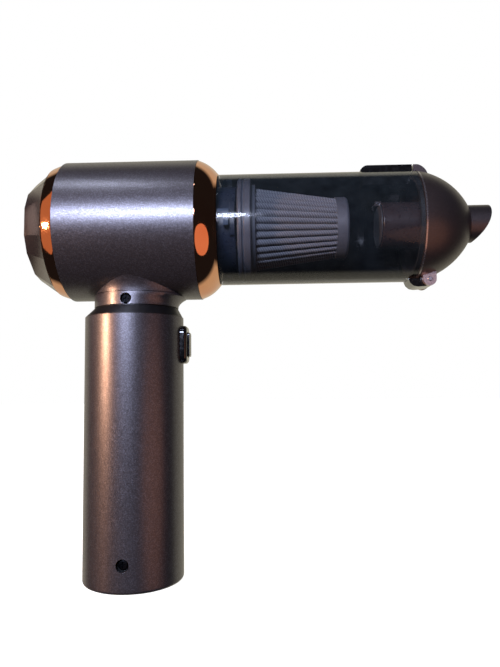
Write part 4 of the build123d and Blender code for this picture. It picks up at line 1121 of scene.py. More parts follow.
@dataclass
class DustCup(Assembly):
    """The smoked cup, its bayonet ribs, its hinge bracket and the latch housing."""

    body: str = "cup"
    rib_front: float = 45.4 * MM
    rib_thickness: float = 2.3 * MM
    rib_inner: float = 20.6 * MM
    rib_half: float = 3.6 * MM
    latch_half: float = 6.5 * MM
    latch_ramp: float = 3.0 * MM
    opening_half: float = 5.35 * MM
    pocket_half: float = 5.3 * MM
    well_half: float = 4.3 * MM
    passage_half: float = 2.6 * MM
    pin_radius: float = 1.05 * MM

    def build(self) -> None:
        """Builds the cup and what is fixed to it."""
        self.wall()
        self.ribs()
        self.latch_housing()
        self.hinge_bracket()

    def wall(self) -> None:
        """The clear wall, with a rolled rim at each end and the opening for the latch."""
        outline = [(CUP.back, CUP_BORE), (CUP.back, CUP.radius), (CUP.front, CUP.radius),
                   (CUP.front, CUP_BORE)]
        piece = HEAD.turn("smoked_dust_cup", outline)
        low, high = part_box("latch_housing")
        half = self.opening_half
        opening = block("latch_opening", (low.x + 1.1 * MM, -half, HEAD_HEIGHT + CUP_BORE / 2),
                        (CUP.front + MM, half, high.z))
        combine(piece, opening, Cut.AWAY)
        soften(piece, 0.3 * MM)
        # a clear wall must not darken the filter behind it
        piece.visible_shadow = False
        self.add(piece, "smoke_clear", "dust_cup", finishes=(SMOKE_NEAR, SMOKE_FAR_PAINTED_SHADE))
        # the inner faces take the darker finish, painted shade on the cup's far side
        middle = (CUP.radius + CUP_BORE) / 2
        for face in piece.data.polygons:
            face.material_index = int(HEAD.radius(face.center) < middle)

    def ribs(self) -> None:
        """Three L ribs inside the rim, which hook behind the bayonet's lugs."""
        back = self.rib_front - self.rib_thickness
        start = CUP.back + 0.2 * MM
        ring = HEAD.tube("rib", start, self.rib_front, CUP_BORE - 0.02 * MM, self.rib_inner)
        corner = HEAD_HEIGHT + self.rib_half - 1.8 * MM
        low, high = HEAD_HEIGHT - self.rib_half, HEAD_HEIGHT + self.rib_half
        outline = [(back, low), (self.rib_front, low), (self.rib_front, high), (start - MM, high),
                   (start - MM, corner), (back, corner)]
        combine(ring, slab("rib_outline", outline, -CUP.radius, -self.rib_inner / 2), Cut.COMMON)
        soften(ring, 0.3 * MM)
        piece = ring_of(ring, 3, HEAD.centre, HEAD.along)
        piece.name = piece.data.name = "bayonet_ribs"
        # the clear ribs wear pale blue grey, a painted glint
        self.add(piece, "smoke_clear", finishes=(SMOKE_RIB_PAINTED_GLINT,))

    def latch_housing(self) -> None:
        """The gloss black housing, ramped at the back, open for its button and hook."""
        low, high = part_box("latch_housing")
        ramp_top = low.x + self.latch_ramp
        foot = HEAD_HEIGHT + CUP.radius - 2 * MM
        outline = [(low.x, foot), (low.x, HEAD_HEIGHT + CUP.radius + 0.25 * MM),
                   *arc((low.x + 0.3 * MM, HEAD_HEIGHT + CUP.radius + 0.5 * MM),
                        (low.x + 0.45 * self.latch_ramp, high.z - 0.65 * MM), (ramp_top, high.z), 6),
                   (high.x, high.z), (high.x, foot)]
        piece = slab("latch_case", outline, -self.latch_half, self.latch_half)
        combine(piece, HEAD.tube("cup_tool", low.x - MM, high.x + MM, CUP.radius + 0.05 * MM), Cut.AWAY)
        pocket = block("pocket", (low.x + 1.2 * MM, -self.pocket_half, low.z),
                       (high.x, self.pocket_half, high.z - 1.2 * MM))
        combine(piece, pocket, Cut.TOGETHER)
        well_front = high.x - 2.8 * MM
        well = block("well", (low.x + 3.4 * MM, -self.well_half, low.z + MM),
                     (well_front, self.well_half, high.z + MM))
        combine(piece, well, Cut.AWAY)
        passage = block("passage", (well_front - MM, -self.passage_half, low.z + MM),
                        (high.x + MM, self.passage_half, high.z - 1.5 * MM))
        combine(piece, passage, Cut.AWAY)
        soften(piece, 0.4 * MM, 3, 40)
        self.add(piece, "gloss_black", "latch_housing")

    def hinge_bracket(self) -> None:
        """The bracket under the cup's mouth, curling up into the hinge's barrel."""
        low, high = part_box("hinge_bracket")
        pin = middle_of("hinge_pin")
        radius = high.x - pin.x
        half = high.y
        barrel = [(pin.x + radius * math.cos(a), pin.z + radius * math.sin(a))
                  for a in (math.radians(-100 + 20 * i) for i in range(14))]
        outline = [(CUP.front - 3.4 * MM, HEAD_HEIGHT - CUP.radius + 0.4 * MM),
                   (CUP.front - 2.6 * MM, HEAD_HEIGHT - CUP.radius - 1.6 * MM),
                   (CUP.front - 1.1 * MM, low.z + 0.45 * MM), (CUP.front + 0.9 * MM, low.z),
                   *barrel, (CUP.front + 0.6 * MM, HEAD_HEIGHT - CUP.radius + 0.6 * MM)]
        piece = slab("hinge_bracket_arm", outline, -half, half)
        combine(piece, HEAD.tube("cup_tool", CUP.front - 8 * MM, CUP.front, CUP.radius + 0.05 * MM),
                Cut.AWAY)
        hinge = lathe_across(pin.x, pin.z)
        combine(piece, hinge.tube("pin_hole", -2 * half, 2 * half, self.pin_radius), Cut.AWAY)
        soften(piece, 0.3 * MM)
        self.add(piece, "smoke_clear", "hinge_bracket", finishes=(BLACK_GLOSS,))


# ---------------------------------------------------------------- filter

@dataclass
class Filter(Assembly):
    """The pleated cone filter between its silicone seal and its end cap."""

    body: str = "cup"
    pleats: int = 32
    base_radius: float = 19.0 * MM
    end_radius: float = 13.8 * MM
    pleat_depth: float = 2.3 * MM
    # how deep one pleat is from ridge to fold and back, as shares of its depth
    fold: tuple[float, ...] = (0.0, 0.04, 0.14, 0.42, 1.0, 0.42, 0.14, 0.04)
    rings: int = 24

    def build(self) -> None:
        """Builds the seal, the base ring, the pleats and the end cap."""
        self.seal()
        self.cone()
        self.cap()

    def seal(self) -> None:
        """The wide grey silicone band with two wiping lips, and the rigid ring in front of it."""
        band = span("filter_seal")
        inner = self.base_radius + 1.1 * MM
        wall = CUP_BORE - 0.06 * MM
        groove = wall - 0.6 * MM
        back, width = band.back - 0.7 * MM, band.front - band.back + 0.7 * MM
        steps = [(0.0, groove), (0.12, wall), (0.3, wall), (0.36, groove), (0.44, groove), (0.5, wall),
                 (0.93, wall), (1.0, groove)]
        outline = [(back, inner), *[(back + width * share, r) for share, r in steps],
                   (band.front, inner)]
        piece = soften(HEAD.turn("filter_seal_band", outline), 0.12 * MM)
        self.add(piece, "filter_silicone", "filter_seal")
        base = span("filter_base")
        rim = base.front - 1.9 * MM
        bore = self.base_radius - 3.2 * MM
        ring = HEAD.turn("filter_base_ring", [
            (base.back, bore), (base.back, self.base_radius + MM), (rim, self.base_radius + MM),
            (rim, base.radius), (base.front, base.radius - 0.3 * MM), (base.front, bore)])
        soften(ring, 0.15 * MM)
        self.add(ring, "filter_frame", "filter_base")

    def cone(self) -> None:
        """The pleats: soft round ridges with narrow folds between, tapering to the cap."""
        cloth = span("filter_pleats")
        deselect()
        bpy.ops.mesh.primitive_circle_add(vertices=self.pleats * len(self.fold), radius=self.base_radius,
                                          fill_type="NOTHING", location=(cloth.back, 0, HEAD_HEIGHT),
                                          rotation=(0, math.pi / 2, 0))
        bpy.ops.object.transform_apply(location=True, rotation=True, scale=True)
        piece = bpy.context.object
        piece.name = piece.data.name = "filter_pleat_cone"
        bpy.ops.object.mode_set(mode="EDIT")
        centre = (cloth.back, 0, HEAD_HEIGHT)
        for place, share in enumerate(self.fold):
            if share > 0:
                pick_points(piece, lambda v, p=place: v.index % len(self.fold) == p)
                scale = 1 - share * self.pleat_depth / self.base_radius
                bpy.ops.transform.resize(value=(1, scale, scale), center_override=centre)
        bpy.ops.mesh.select_all(action="SELECT")
        step = (cloth.front - cloth.back) / self.rings
        radius = self.base_radius
        for ring in range(1, self.rings + 1):
            place = cloth.back + ring * step
            target = self.base_radius + (self.end_radius - self.base_radius) * ring / self.rings
            # cloth pleats never run quite straight
            sway = math.radians(0.35 * math.sin(ring * 1.7) + 0.2 * math.sin(ring * 3.1))
            bpy.ops.mesh.extrude_region_move(TRANSFORM_OT_translate={"value": (step, 0, 0)})
            scale = target / radius
            bpy.ops.transform.resize(value=(1, scale, scale), center_override=(place, 0, HEAD_HEIGHT))
            bpy.ops.transform.rotate(value=sway, orient_axis="X", center_override=(place, 0, HEAD_HEIGHT))
            radius = target
        self.close_ends(piece, cloth)
        finish_mesh(piece)
        smooth(piece, 75)
        self.add(piece, "filter_paper", "filter_pleats")

    def close_ends(self, piece: Piece, cloth: Span) -> None:
        """Fills the cone's two open rims."""
        for place in (cloth.back, cloth.front):
            pick_points(piece, lambda v, x=place: abs(v.co.x - x) < 0.01 * MM)
            bpy.ops.mesh.edge_face_add()

    def cap(self) -> None:
        """The end cap: a dished disc with a rounded rim and a moulded ring."""
        cap = span("filter_end_cap")
        edge = cap.radius
        rim = arc((cap.front - 1.4 * MM, edge), (cap.front - 0.4 * MM, edge - 0.42 * MM),
                  (cap.front, edge - 1.4 * MM), 6)
        outline = [(cap.back, 0), (cap.back, edge), *rim, (cap.front, edge - 3.2 * MM),
                   (cap.front - 1.1 * MM, edge - 3.6 * MM), (cap.front - 1.1 * MM, edge - 4.6 * MM),
                   (cap.front - 0.2 * MM, edge - 5.0 * MM), (cap.front - 0.9 * MM, edge * 0.3),
                   (cap.front - 0.9 * MM, 0)]
        piece = soften(HEAD.turn("filter_end_disc", outline, closed=False), 0.15 * MM)
        self.add(piece, "filter_cap", "filter_end_cap")


# ---------------------------------------------------------------- latch button

@dataclass
class LatchButton(Assembly):
    """The sliding button that lets the nose go."""

    body: str = "latch"
    grooves: int = 3
    groove_pitch: float = 4.5 * MM
    groove_width: float = 1.0 * MM
    groove_depth: float = 0.35 * MM
    finger_half: float = 2.2 * MM
    spring_bore: float = 2.05 * MM
    travel: float = 1.1 * MM

    def build(self) -> None:
        """A grooved pad with a finger under it that holds the nose's tooth."""
        low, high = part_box("latch_button")
        spring_low, spring_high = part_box("latch_spring")
        pad_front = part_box("latch_housing")[1].x - 3.2 * MM
        middle = (spring_low.x + spring_high.x) / 2
        half = high.y
        top = high.z
        width, floor = self.groove_width, top - self.groove_depth
        crown = [(low.x, top - 0.5 * MM), (low.x + 0.35 * MM, top - 0.1 * MM)]
        for number in range(self.grooves):
            x = middle + (number - 1) * self.groove_pitch
            crown += [(x - width / 2, top), (x - width / 4, floor), (x + width / 4, floor),
                      (x + width / 2, top)]
        crown += [(pad_front - 0.35 * MM, top - 0.1 * MM), (pad_front, top - 0.5 * MM)]
        piece = slab("latch_pad", [(low.x, low.z), *crown, (pad_front, low.z)], -half, half)
        finger_top = HEAD_HEIGHT + CUP_BORE - 0.65 * MM
        finger = block("finger", (pad_front - MM, -self.finger_half, low.z),
                       (high.x, self.finger_half, finger_top))
        combine(piece, finger, Cut.TOGETHER)
        bore = Lathe(Vector((middle, 0, 0)), Vector((0, 0, 1)), Vector((1, 0, 0)), 48)
        # the bore is deep enough for the spring when the button is pressed
        combine(piece, bore.tube("spring_bore", low.z - MM, spring_high.z + self.travel, self.spring_bore),
                Cut.AWAY)
        soften(piece, 0.22 * MM)
        self.add(piece, "button_black", "latch_button")


# ---------------------------------------------------------------- nose

@dataclass
class Nose(Assembly):
    """The lacquered dome with its nozzle, its inner duct and the dust flap."""

    body: str = "nose"
    wall: float = 1.8 * MM
    dome_length: float = 24.3 * MM
    middle: tuple[float, float] = (14.2 * MM, 20.2 * MM)
    end_radius: float = 9.7 * MM
    rise: float = 0.9 * MM
    nozzle_radius: float = 8.7 * MM
    nozzle_bore: float = 7.5 * MM
    mouth_slant: float = 7.4 * MM
    mouth_middle: tuple[float, float] = (1.7 * MM, 0.0)
    ear_radius: float = 3.0 * MM
    notch_radius: float = 3.3 * MM
    notch_half: float = 5.3 * MM
    ear_width: float = 2.2 * MM
    latch_half: float = 6.5 * MM
    hook_half: float = 2.2 * MM
    lip: float = 0.7 * MM
    pin_radius: float = 1.02 * MM
    duct_radius: float = 10.75 * MM
    duct_wall: float = 1.5 * MM
    flap_notch_half: float = 4.6 * MM
    flap_barrel_half: float = 2.4 * MM
    seam: float = field(init=False)
    front: float = field(init=False)
    raised: Lathe = field(init=False)

    def build(self) -> None:
        """Builds the dome, the nozzle, the duct and the flap."""
        self.seam = CUP.front + 0.3 * MM
        self.front = self.seam + self.dome_length
        self.raised = Lathe(HEAD.centre + Vector((0, 0, self.rise)), HEAD.along, HEAD.outward)
        self.dome()
        self.nozzle()
        self.duct()
        self.flap()

    def dome_curve(self, inset: float) -> list[tuple[float, float]]:
        """The dome's side, from its seam to its nose, inset by a wall's thickness."""
        start = (self.seam, CUP.radius - inset)
        middle = (self.seam + self.middle[0] - inset * 0.55, self.middle[1] - inset * 0.8)
        end = (self.front - inset, self.end_radius - inset * 0.35)
        return arc(start, middle, end, 20)

    def dome(self) -> None:
        """The dome: a thin turned shell with a latch brow on top and hinge ears below."""
        pin = middle_of("hinge_pin")
        hinge = lathe_across(pin.x, pin.z)
        outer, inner = self.dome_curve(0.0), self.dome_curve(self.wall)
        bore = self.nozzle_radius + 0.05 * MM
        lip = (self.seam + self.lip, CUP.radius - 0.04 * MM)
        outline = [outer[0], lip, *outer[1:], (self.front, bore / 2),
                   (self.front - self.wall, bore / 2), *reversed(inner)]
        piece = HEAD.turn("nose_dome_shell", outline)
        combine(piece, self.raised.tube("nozzle_hole", self.front - 12 * MM, self.front + MM, bore),
                Cut.AWAY)
        combine(piece, self.brow(), Cut.TOGETHER)
        combine(piece, hinge.tube("notch", -self.notch_half, self.notch_half, self.notch_radius), Cut.AWAY)
        for side in (-1, 1):
            combine(piece, self.ear(side, pin.x, pin.z), Cut.TOGETHER)
        combine(piece, hinge.tube("pin_hole", -20 * MM, 20 * MM, self.pin_radius), Cut.AWAY)
        soften(piece, 0.22 * MM, 2, 40)
        self.add(piece, "nose_lacquer", "nose_dome", finishes=(NOSE_PAINT, EAR_PLATE, SEAM_LIP_PAINTED_HIGHLIGHT))
        for face in piece.data.polygons:
            face.material_index = self.dome_finish(face.center, hinge)

    def dome_finish(self, place: Vector, hinge: Lathe) -> int:
        """Which of the dome's finishes a face has.

        Args:
            place: The face's middle.
            hinge: The hinge's axis.

        Returns:
            1 on the hinge ears, 2 on the lip at the seam, whose light paint is a painted highlight, 0
            elsewhere.
        """
        beside_notch = abs(place.y) > self.notch_half - 0.1 * MM
        at_pin = hinge.radius(place) < self.ear_radius + 1.2 * MM
        if beside_notch and at_pin and place.z < hinge.centre.z + 2.6 * MM:
            return 1
        # the lip at the seam is painted light, a painted highlight
        at_seam = place.x < self.seam + 0.8 * self.lip
        return 2 if at_seam and HEAD.radius(place) > CUP.radius - 0.8 * MM else 0

    def brow(self) -> Piece:
        """The brow that carries the latch's line onto the dome, with the catch behind it."""
        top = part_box("latch_housing")[1].z
        end_x = self.seam + 6.4 * MM
        end_z = HEAD_HEIGHT + self.middle[1] + 3.4 * MM
        outline = [(self.seam, HEAD_HEIGHT + CUP.radius - MM), (self.seam, top), (self.seam + 1.8 * MM, top),
                   *arc((self.seam + 2.4 * MM, top - 0.1 * MM), (self.seam + 4.6 * MM, top - 1.4 * MM),
                        (end_x, end_z), 6), (end_x, end_z - MM)]
        piece = slab("brow", outline, -self.latch_half, self.latch_half)
        catch_low = HEAD_HEIGHT + CUP_BORE - 0.35 * MM
        catch_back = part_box("nose_dome")[0].x
        hook = [(catch_back, catch_low), (catch_back + 1.2 * MM, catch_low),
                (catch_back + 1.2 * MM, catch_low + 0.8 * MM), (self.seam + 1.6 * MM, catch_low + 0.8 * MM),
                (self.seam + 1.6 * MM, catch_low + 2.6 * MM), (self.seam + 0.05 * MM, catch_low + 2.6 * MM),
                (self.seam + 0.05 * MM, catch_low + 1.8 * MM), (catch_back, catch_low + 1.8 * MM)]
        return combine(piece, slab("hook", hook, -self.hook_half, self.hook_half), Cut.TOGETHER)

    def ear(self, side: int, pin_x: float, pin_z: float) -> Piece:
        """One hinge ear: a rounded plate from the dome down round the pin.

        Args:
            side: -1 or 1, for the side it stands on.
            pin_x: The pin's place along the head.
            pin_z: The pin's height.

        Returns:
            The plate.
        """
        r = self.ear_radius
        low = [(pin_x + r * math.cos(a), pin_z + r * math.sin(a))
               for a in (math.radians(180 + 15 * i) for i in range(13))]
        outline = [*low, (pin_x + r, pin_z + 3.4 * MM), (pin_x - r, pin_z + 3.4 * MM)]
        edges = sorted((side * self.notch_half, side * (self.notch_half + self.ear_width)))
        return slab("ear", outline, *edges)

    def nozzle(self) -> None:
        """The short tube with its mouth cut on a slant."""
        tube = span("nozzle")
        piece = self.raised.tube("slanted_nozzle", tube.back, tube.front + MM, self.nozzle_radius,
                                 self.nozzle_bore)
        top = (tube.front, HEAD_HEIGHT + self.rise + self.nozzle_radius)
        middle = (tube.front - self.mouth_middle[0], HEAD_HEIGHT + self.mouth_middle[1])
        low = (tube.front - self.mouth_slant, HEAD_HEIGHT + self.rise - self.nozzle_radius)
        outline = [*arc(top, middle, low, 14), (low[0], low[1] - 2 * MM),
                   (tube.front + 5 * MM, low[1] - 2 * MM), (tube.front + 5 * MM, top[1] + 2 * MM),
                   (tube.front, top[1] + 2 * MM)]
        combine(piece, slab("mouth", outline, -2 * self.nozzle_radius, 2 * self.nozzle_radius), Cut.AWAY)
        soften(piece, 0.4 * MM, 3, 40)
        self.add(piece, "nose_lacquer", "nozzle")

    def duct(self) -> None:
        """The smoked tube that carries the air past the dome's foot into the cup."""
        outer, wall = self.duct_radius, self.duct_wall
        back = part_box("inlet_flap")[1].x + 0.3 * MM
        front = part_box("inlet_duct")[1].x
        seat_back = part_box("nozzle")[0].x
        flange = self.middle[1] - 4.65 * MM
        outline = [(back, outer - wall), (back, outer - 0.2 * MM), (back + 0.3 * MM, outer),
                   (seat_back - 1.5 * MM, outer), (seat_back - 1.5 * MM, flange), (seat_back, flange),
                   (seat_back, outer), (front, outer), (front, self.nozzle_radius + 0.05 * MM),
                   (seat_back, self.nozzle_radius + 0.05 * MM), (seat_back, outer - wall)]
        piece = soften(self.raised.turn("inner_duct", outline), 0.15 * MM)
        pin = middle_of("flap_pin")
        lug = rounded((pin.x - 1.1 * MM, pin.z - 1.2 * MM), (back + 0.5 * MM, pin.z + 0.9 * MM), 0.3 * MM)
        for side in (-1, 1):
            edges = sorted((side * 2.7 * MM, side * 4.1 * MM))
            combine(piece, slab("lug", lug, *edges), Cut.TOGETHER)
        smooth(piece)
        self.add(piece, "smoke_duct", "inlet_duct")

    def flap(self) -> None:
        """The soft flap that shuts the duct, thinner at its rim, with a rib across it."""
        low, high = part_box("inlet_flap")
        pin = middle_of("flap_pin")
        radius = (high.y - low.y) / 2
        back, front = high.x - 0.8 * MM, high.x
        outline = [(back + 0.15 * MM, 0), (back + 0.15 * MM, radius * 0.45), (back, radius * 0.55),
                   (back, radius * 0.8), (back + 0.3 * MM, radius * 0.92), (back + 0.3 * MM, radius),
                   (front, radius), (front, 0)]
        piece = self.raised.turn("dust_flap", outline, closed=False)
        notch = block("notch", (low.x - 2 * MM, -self.flap_notch_half, pin.z - 1.7 * MM),
                      (high.x + 2 * MM, self.flap_notch_half, pin.z + 3 * MM))
        combine(piece, notch, Cut.AWAY)
        half = self.flap_barrel_half
        barrel = lathe_across(pin.x, pin.z, 32).tube("barrel", -half, half, 1.1 * MM, 0.65 * MM)
        strip = block("strip", (back, -half, pin.z - 2 * MM), (front, half, pin.z - 0.85 * MM))
        combine(piece, combine(barrel, strip, Cut.TOGETHER), Cut.TOGETHER)
        soften(piece, 0.08 * MM)
        self.add(piece, "flap_silicone", "inlet_flap", body="flap")


# ---------------------------------------------------------------- handle

@dataclass
class Handle(Assembly):
    """The neck's collar and black ring, the grip tube, its end cover and the power button."""

    body: str = "main_body"
    wall: float = 1.6 * MM
    end_round: float = 1.4 * MM
    collar_radius: float = 19.2 * MM
    collar_shift: float = 0.9 * MM
    plug_bore: float = 12.05 * MM
    neck_hole: float = 2.45 * MM
    shank_hole: float = 1.3 * MM
    grip_hole: float = 2.75 * MM
    light_hole: float = 1.3 * MM
    cover_bore: float = 17.0 * MM
    cover_edge: float = 16.95 * MM
    flare: float = 4.2 * MM
    top: float = field(init=False)
    radius: float = field(init=False)

    def build(self) -> None:
        """Builds the neck, the grip and the button's frame."""
        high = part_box("handle_tube")[1]
        self.top, self.radius = high.z, high.y
        self.neck()
        self.grip()
        self.end_cover()
        self.button()

    def neck(self) -> None:
        """The painted collar, saddled to the drum and flared in front, over a black ring."""
        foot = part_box("neck_collar")[0].z
        waist = HEAD_HEIGHT - BODY.radius
        peak = HEAD_HEIGHT - BODY.radius / 2
        levels = [foot + (waist + 0.4 * MM - foot) * i / 6 for i in range(7)]
        lathe = Lathe(Vector((self.collar_shift, 0, 0)), GRIP.along, GRIP.outward)
        groove = waist + 1.3 * MM
        blend = arc((groove + 0.25 * MM, self.collar_radius),
                    (groove + 5.2 * MM, self.collar_radius + 1.2 * MM),
                    (groove + 9.2 * MM, self.collar_radius + 4.6 * MM), 8)
        outline = [(foot, self.plug_bore - self.collar_shift), *[(z, self.collar_radius) for z in levels],
                   (groove, self.collar_radius), (groove + 0.1 * MM, self.collar_radius - 0.25 * MM),
                   *blend, (peak, self.collar_radius + 4.6 * MM), (peak, self.plug_bore - self.collar_shift)]
        piece = lathe.turn("painted_collar", outline)
        bpy.ops.object.mode_set(mode="EDIT")
        heights = [*levels[1:], groove, groove + 0.1 * MM, *[z for z, _ in blend], peak]
        for number, level in enumerate(heights):
            # the flare grows slowly at the foot and is full from the sixth level up
            reach = self.flare * min(1.0, (number + 1) / 6) ** 2.2
            pick_points(piece, lambda v, z=level: self.on_flare(v.co, z))
            bpy.ops.transform.resize(value=((self.collar_radius + reach) / self.collar_radius, 1, 1),
                                     center_override=(self.collar_shift, 0, level))
        finish_mesh(piece)
        combine(piece, HEAD.tube("drum", -50 * MM, 50 * MM, BODY.radius + 0.04 * MM), Cut.AWAY)
        hole = lathe_across(0, middle_of("neck_screw").z)
        combine(piece, hole.tube("hole", -self.collar_radius - MM, -self.collar_radius + 3.2 * MM,
                                 self.neck_hole), Cut.AWAY)
        combine(piece, hole.tube("shank", -self.collar_radius, -self.collar_radius / 2, self.shank_hole),
                Cut.AWAY)
        soften(piece, 0.18 * MM, 2, 40)
        self.add(piece, "shell_paint", "neck_collar")
        self.black_ring(foot)

    def on_flare(self, place: Vector, level: float) -> bool:
        """Whether a place is at that height, on the front half of the collar's outside."""
        outside = (place.xy - Vector((self.collar_shift, 0))).length > self.collar_radius - MM
        return abs(place.z - level) < 0.01 * MM and place.x > self.collar_shift and outside

    def black_ring(self, foot: float) -> None:
        """The satin black cone between the collar and the grip, with a shadow groove at its top."""
        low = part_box("neck_ring")[0].z
        ring = GRIP.turn("black_neck_ring", [
            (low, self.plug_bore), (low, self.radius - self.wall - 0.05 * MM),
            (self.top, self.radius - self.wall - 0.05 * MM), (self.top, self.radius - 0.35 * MM),
            (self.top + 0.35 * MM, self.radius - 0.35 * MM), (foot - 0.5 * MM, self.collar_radius),
            (foot - 0.5 * MM, self.collar_radius - 0.6 * MM), (foot, self.collar_radius - 0.6 * MM),
            (foot, self.plug_bore)])
        bpy.ops.object.mode_set(mode="EDIT")
        pick_points(ring, lambda v: v.co.z > foot - 0.6 * MM and v.co.xy.length > self.plug_bore + MM)
        bpy.ops.transform.translate(value=(self.collar_shift, 0, 0))
        finish_mesh(ring)
        soften(ring, 0.12 * MM)
        self.add(ring, "ring_black", "neck_ring")

    def grip(self) -> None:
        """The painted tube, with its screw hole, charging slot, light and button opening."""
        inner = self.radius - self.wall
        cover = self.cover_bore
        foot = arc((0, self.radius - self.end_round), (0.41 * MM, self.radius - 0.41 * MM),
                   (self.end_round, self.radius), 5)
        outline = [(0, cover), *foot, (self.top, self.radius), (self.top, inner), (self.wall, inner),
                   (self.wall, cover)]
        piece = GRIP.turn("painted_grip", outline)
        hole = lathe_across(0, middle_of("handle_screw").z)
        combine(piece, hole.tube("hole", -self.radius - MM, -self.radius / 2, self.grip_hole), Cut.AWAY)
        frame_low, frame_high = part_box("button_frame")
        opening = block("opening", (self.radius / 2, frame_low.y + 0.9 * MM, frame_low.z + 0.9 * MM),
                        (self.radius + MM, frame_high.y - 0.9 * MM, frame_high.z - 0.9 * MM))
        combine(piece, opening, Cut.AWAY)
        socket_low, socket_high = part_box("charge_socket")
        half_y, half_z = socket_high.y + 0.05 * MM, (socket_high.z - socket_low.z) / 2 + 0.05 * MM
        middle = (socket_low.z + socket_high.z) / 2
        outline = rounded((-half_y, middle - half_z), (half_y, middle + half_z), half_z * 0.98)
        combine(piece, slab("slot", outline, -self.radius - MM, -self.radius / 2, "X"), Cut.AWAY)
        beam = Lathe(Vector((0, 0, middle_of("charge_light").z)), HEAD.along, HEAD.outward, 32)
        combine(piece, beam.tube("light", -self.radius - MM, -self.radius / 2, self.light_hole), Cut.AWAY)
        soften(piece, 0.2 * MM, 2, 40)
        self.add(piece, "shell_paint", "handle_tube")

    def end_cover(self) -> None:
        """The cover in the grip's end, with a stepped rim and a shallow dish."""
        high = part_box("handle_end_cover")[1]
        edge = self.cover_edge
        outline = [(0.25 * MM, 0), (0.25 * MM, edge - 4 * MM), (0, edge - 3.4 * MM), (0, edge - MM),
                   (0.3 * MM, edge), (self.wall + 0.05 * MM, edge), (self.wall + 0.05 * MM, high.x),
                   (high.z, high.x), (high.z, 0)]
        piece = soften(GRIP.turn("grip_end_cover", outline, closed=False), 0.15 * MM)
        self.add(piece, "black_abs", "handle_end_cover")

    def button(self) -> None:
        """The gloss frame that stands on the grip, and the button that travels in it."""
        low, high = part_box("button_frame")
        button_low, button_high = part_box("power_button")
        frame_piece = slab("button_bezel", rounded((low.y, low.z), (high.y, high.z), 3.6 * MM),
                           self.radius - 3.5 * MM, high.x, "X")
        bpy.ops.object.mode_set(mode="EDIT")
        pick(frame_piece, lambda f: f.center.x > high.x - 0.1 * MM and f.normal.x > 0.9)
        bpy.ops.mesh.bevel(offset=1.5 * MM, segments=5, profile=0.5)
        finish_mesh(frame_piece)
        combine(frame_piece, GRIP.tube("grip", low.z - MM, high.z + MM, self.radius + 0.05 * MM), Cut.AWAY)
        neck = block("neck", (self.radius - 3.5 * MM, low.y + MM, low.z + MM),
                     (self.radius + 0.8 * MM, high.y - MM, high.z - MM))
        combine(frame_piece, neck, Cut.TOGETHER)
        gap = 0.3 * MM
        mouth = rounded((button_low.y - gap, button_low.z - gap), (button_high.y + gap, button_high.z + gap),
                        1.3 * MM)
        combine(frame_piece, slab("mouth", mouth, low.x - 5 * MM, high.x + 5 * MM, "X"), Cut.AWAY)
        soften(frame_piece, 0.15 * MM, 2, 40)
        self.add(frame_piece, "gloss_black", "button_frame")
        cap = slab("power_button_cap", rounded((button_low.y, button_low.z), (button_high.y, button_high.z),
                                               1.1 * MM), button_low.x + 1.8 * MM, button_high.x, "X")
        bpy.ops.object.mode_set(mode="EDIT")
        pick(cap, lambda f: f.center.x > button_high.x - 0.1 * MM and f.normal.x > 0.9)
        bpy.ops.mesh.inset(thickness=0.9 * MM)
        bpy.ops.transform.translate(value=(-0.3 * MM, 0, 0))
        finish_mesh(cap)
        stem_axis = Lathe(Vector((0, 0, middle_of("power_button").z)), HEAD.along, HEAD.outward, 32)
        stem = stem_axis.tube("stem", button_low.x, button_low.x + 2.0 * MM, 1.1 * MM)
        combine(cap, stem, Cut.TOGETHER)
        soften(cap, 0.3 * MM, 3)
        self.add(cap, "button_black", "power_button", body="button")


# ---------------------------------------------------------------- carried-over nodes

@dataclass(frozen=True)
class Internals:
    """The CAD nodes whose shapes stay: motor, fan, board, cells and fasteners."""

    def dress(self) -> None:
        """Gives every node that still shows the finish of its own material slot."""
        for name, node in sorted(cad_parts.items()):
            if node.hide_render:
                continue
            for slot in node.material_slots:
                wanted = slot.material.name.split(".")[0] if slot.material else ""
                finish = SLOT_FINISHES.get(wanted)
                if finish is None:
                    LOG.warning("%s: no finish for %r", name, wanted)
                    continue
                slot.material = finish.material()
            LOG.info("%s: keeps its shape, %s", name, [s.material.name for s in node.material_slots])


# ---------------------------------------------------------------- studio

@dataclass(frozen=True)
class SoftLight:
    """A soft panel light, placed by where it stands as seen from the object.

    Attributes:
        name: The light's name.
        azimuth: Degrees from the front towards the nozzle's side.
        elevation: Degrees above level.
        distance: From the object, in metres.
        size: Width and height, in metres.
        power: In watts.
        colour: The light's sRGB colour.
        shape: Blender's name for the panel's outline.
    """

    name: str
    azimuth: float
    elevation: float
    distance: float
    size: tuple[float, float]
    power: float
    colour: str
    shape: str = "RECTANGLE"

    def place(self, target: Vector) -> None:
        """Adds the light, aimed at the target."""
        azimuth, elevation = math.radians(self.azimuth), math.radians(self.elevation)
        away = Vector((math.sin(azimuth) * math.cos(elevation), -math.cos(azimuth) * math.cos(elevation),
                       math.sin(elevation)))
        data = bpy.data.lights.new(self.name, "AREA")
        data.shape = self.shape
        data.size, data.size_y = self.size
        data.energy = self.power
        data.color = linear(self.colour)[:3]
        lamp = bpy.data.objects.new(self.name, data)
        bpy.context.scene.collection.objects.link(lamp)
        lamp.location = target + away * self.distance
        lamp.rotation_euler = away.to_track_quat("Z", "Y").to_euler()
        lamp.visible_camera = False


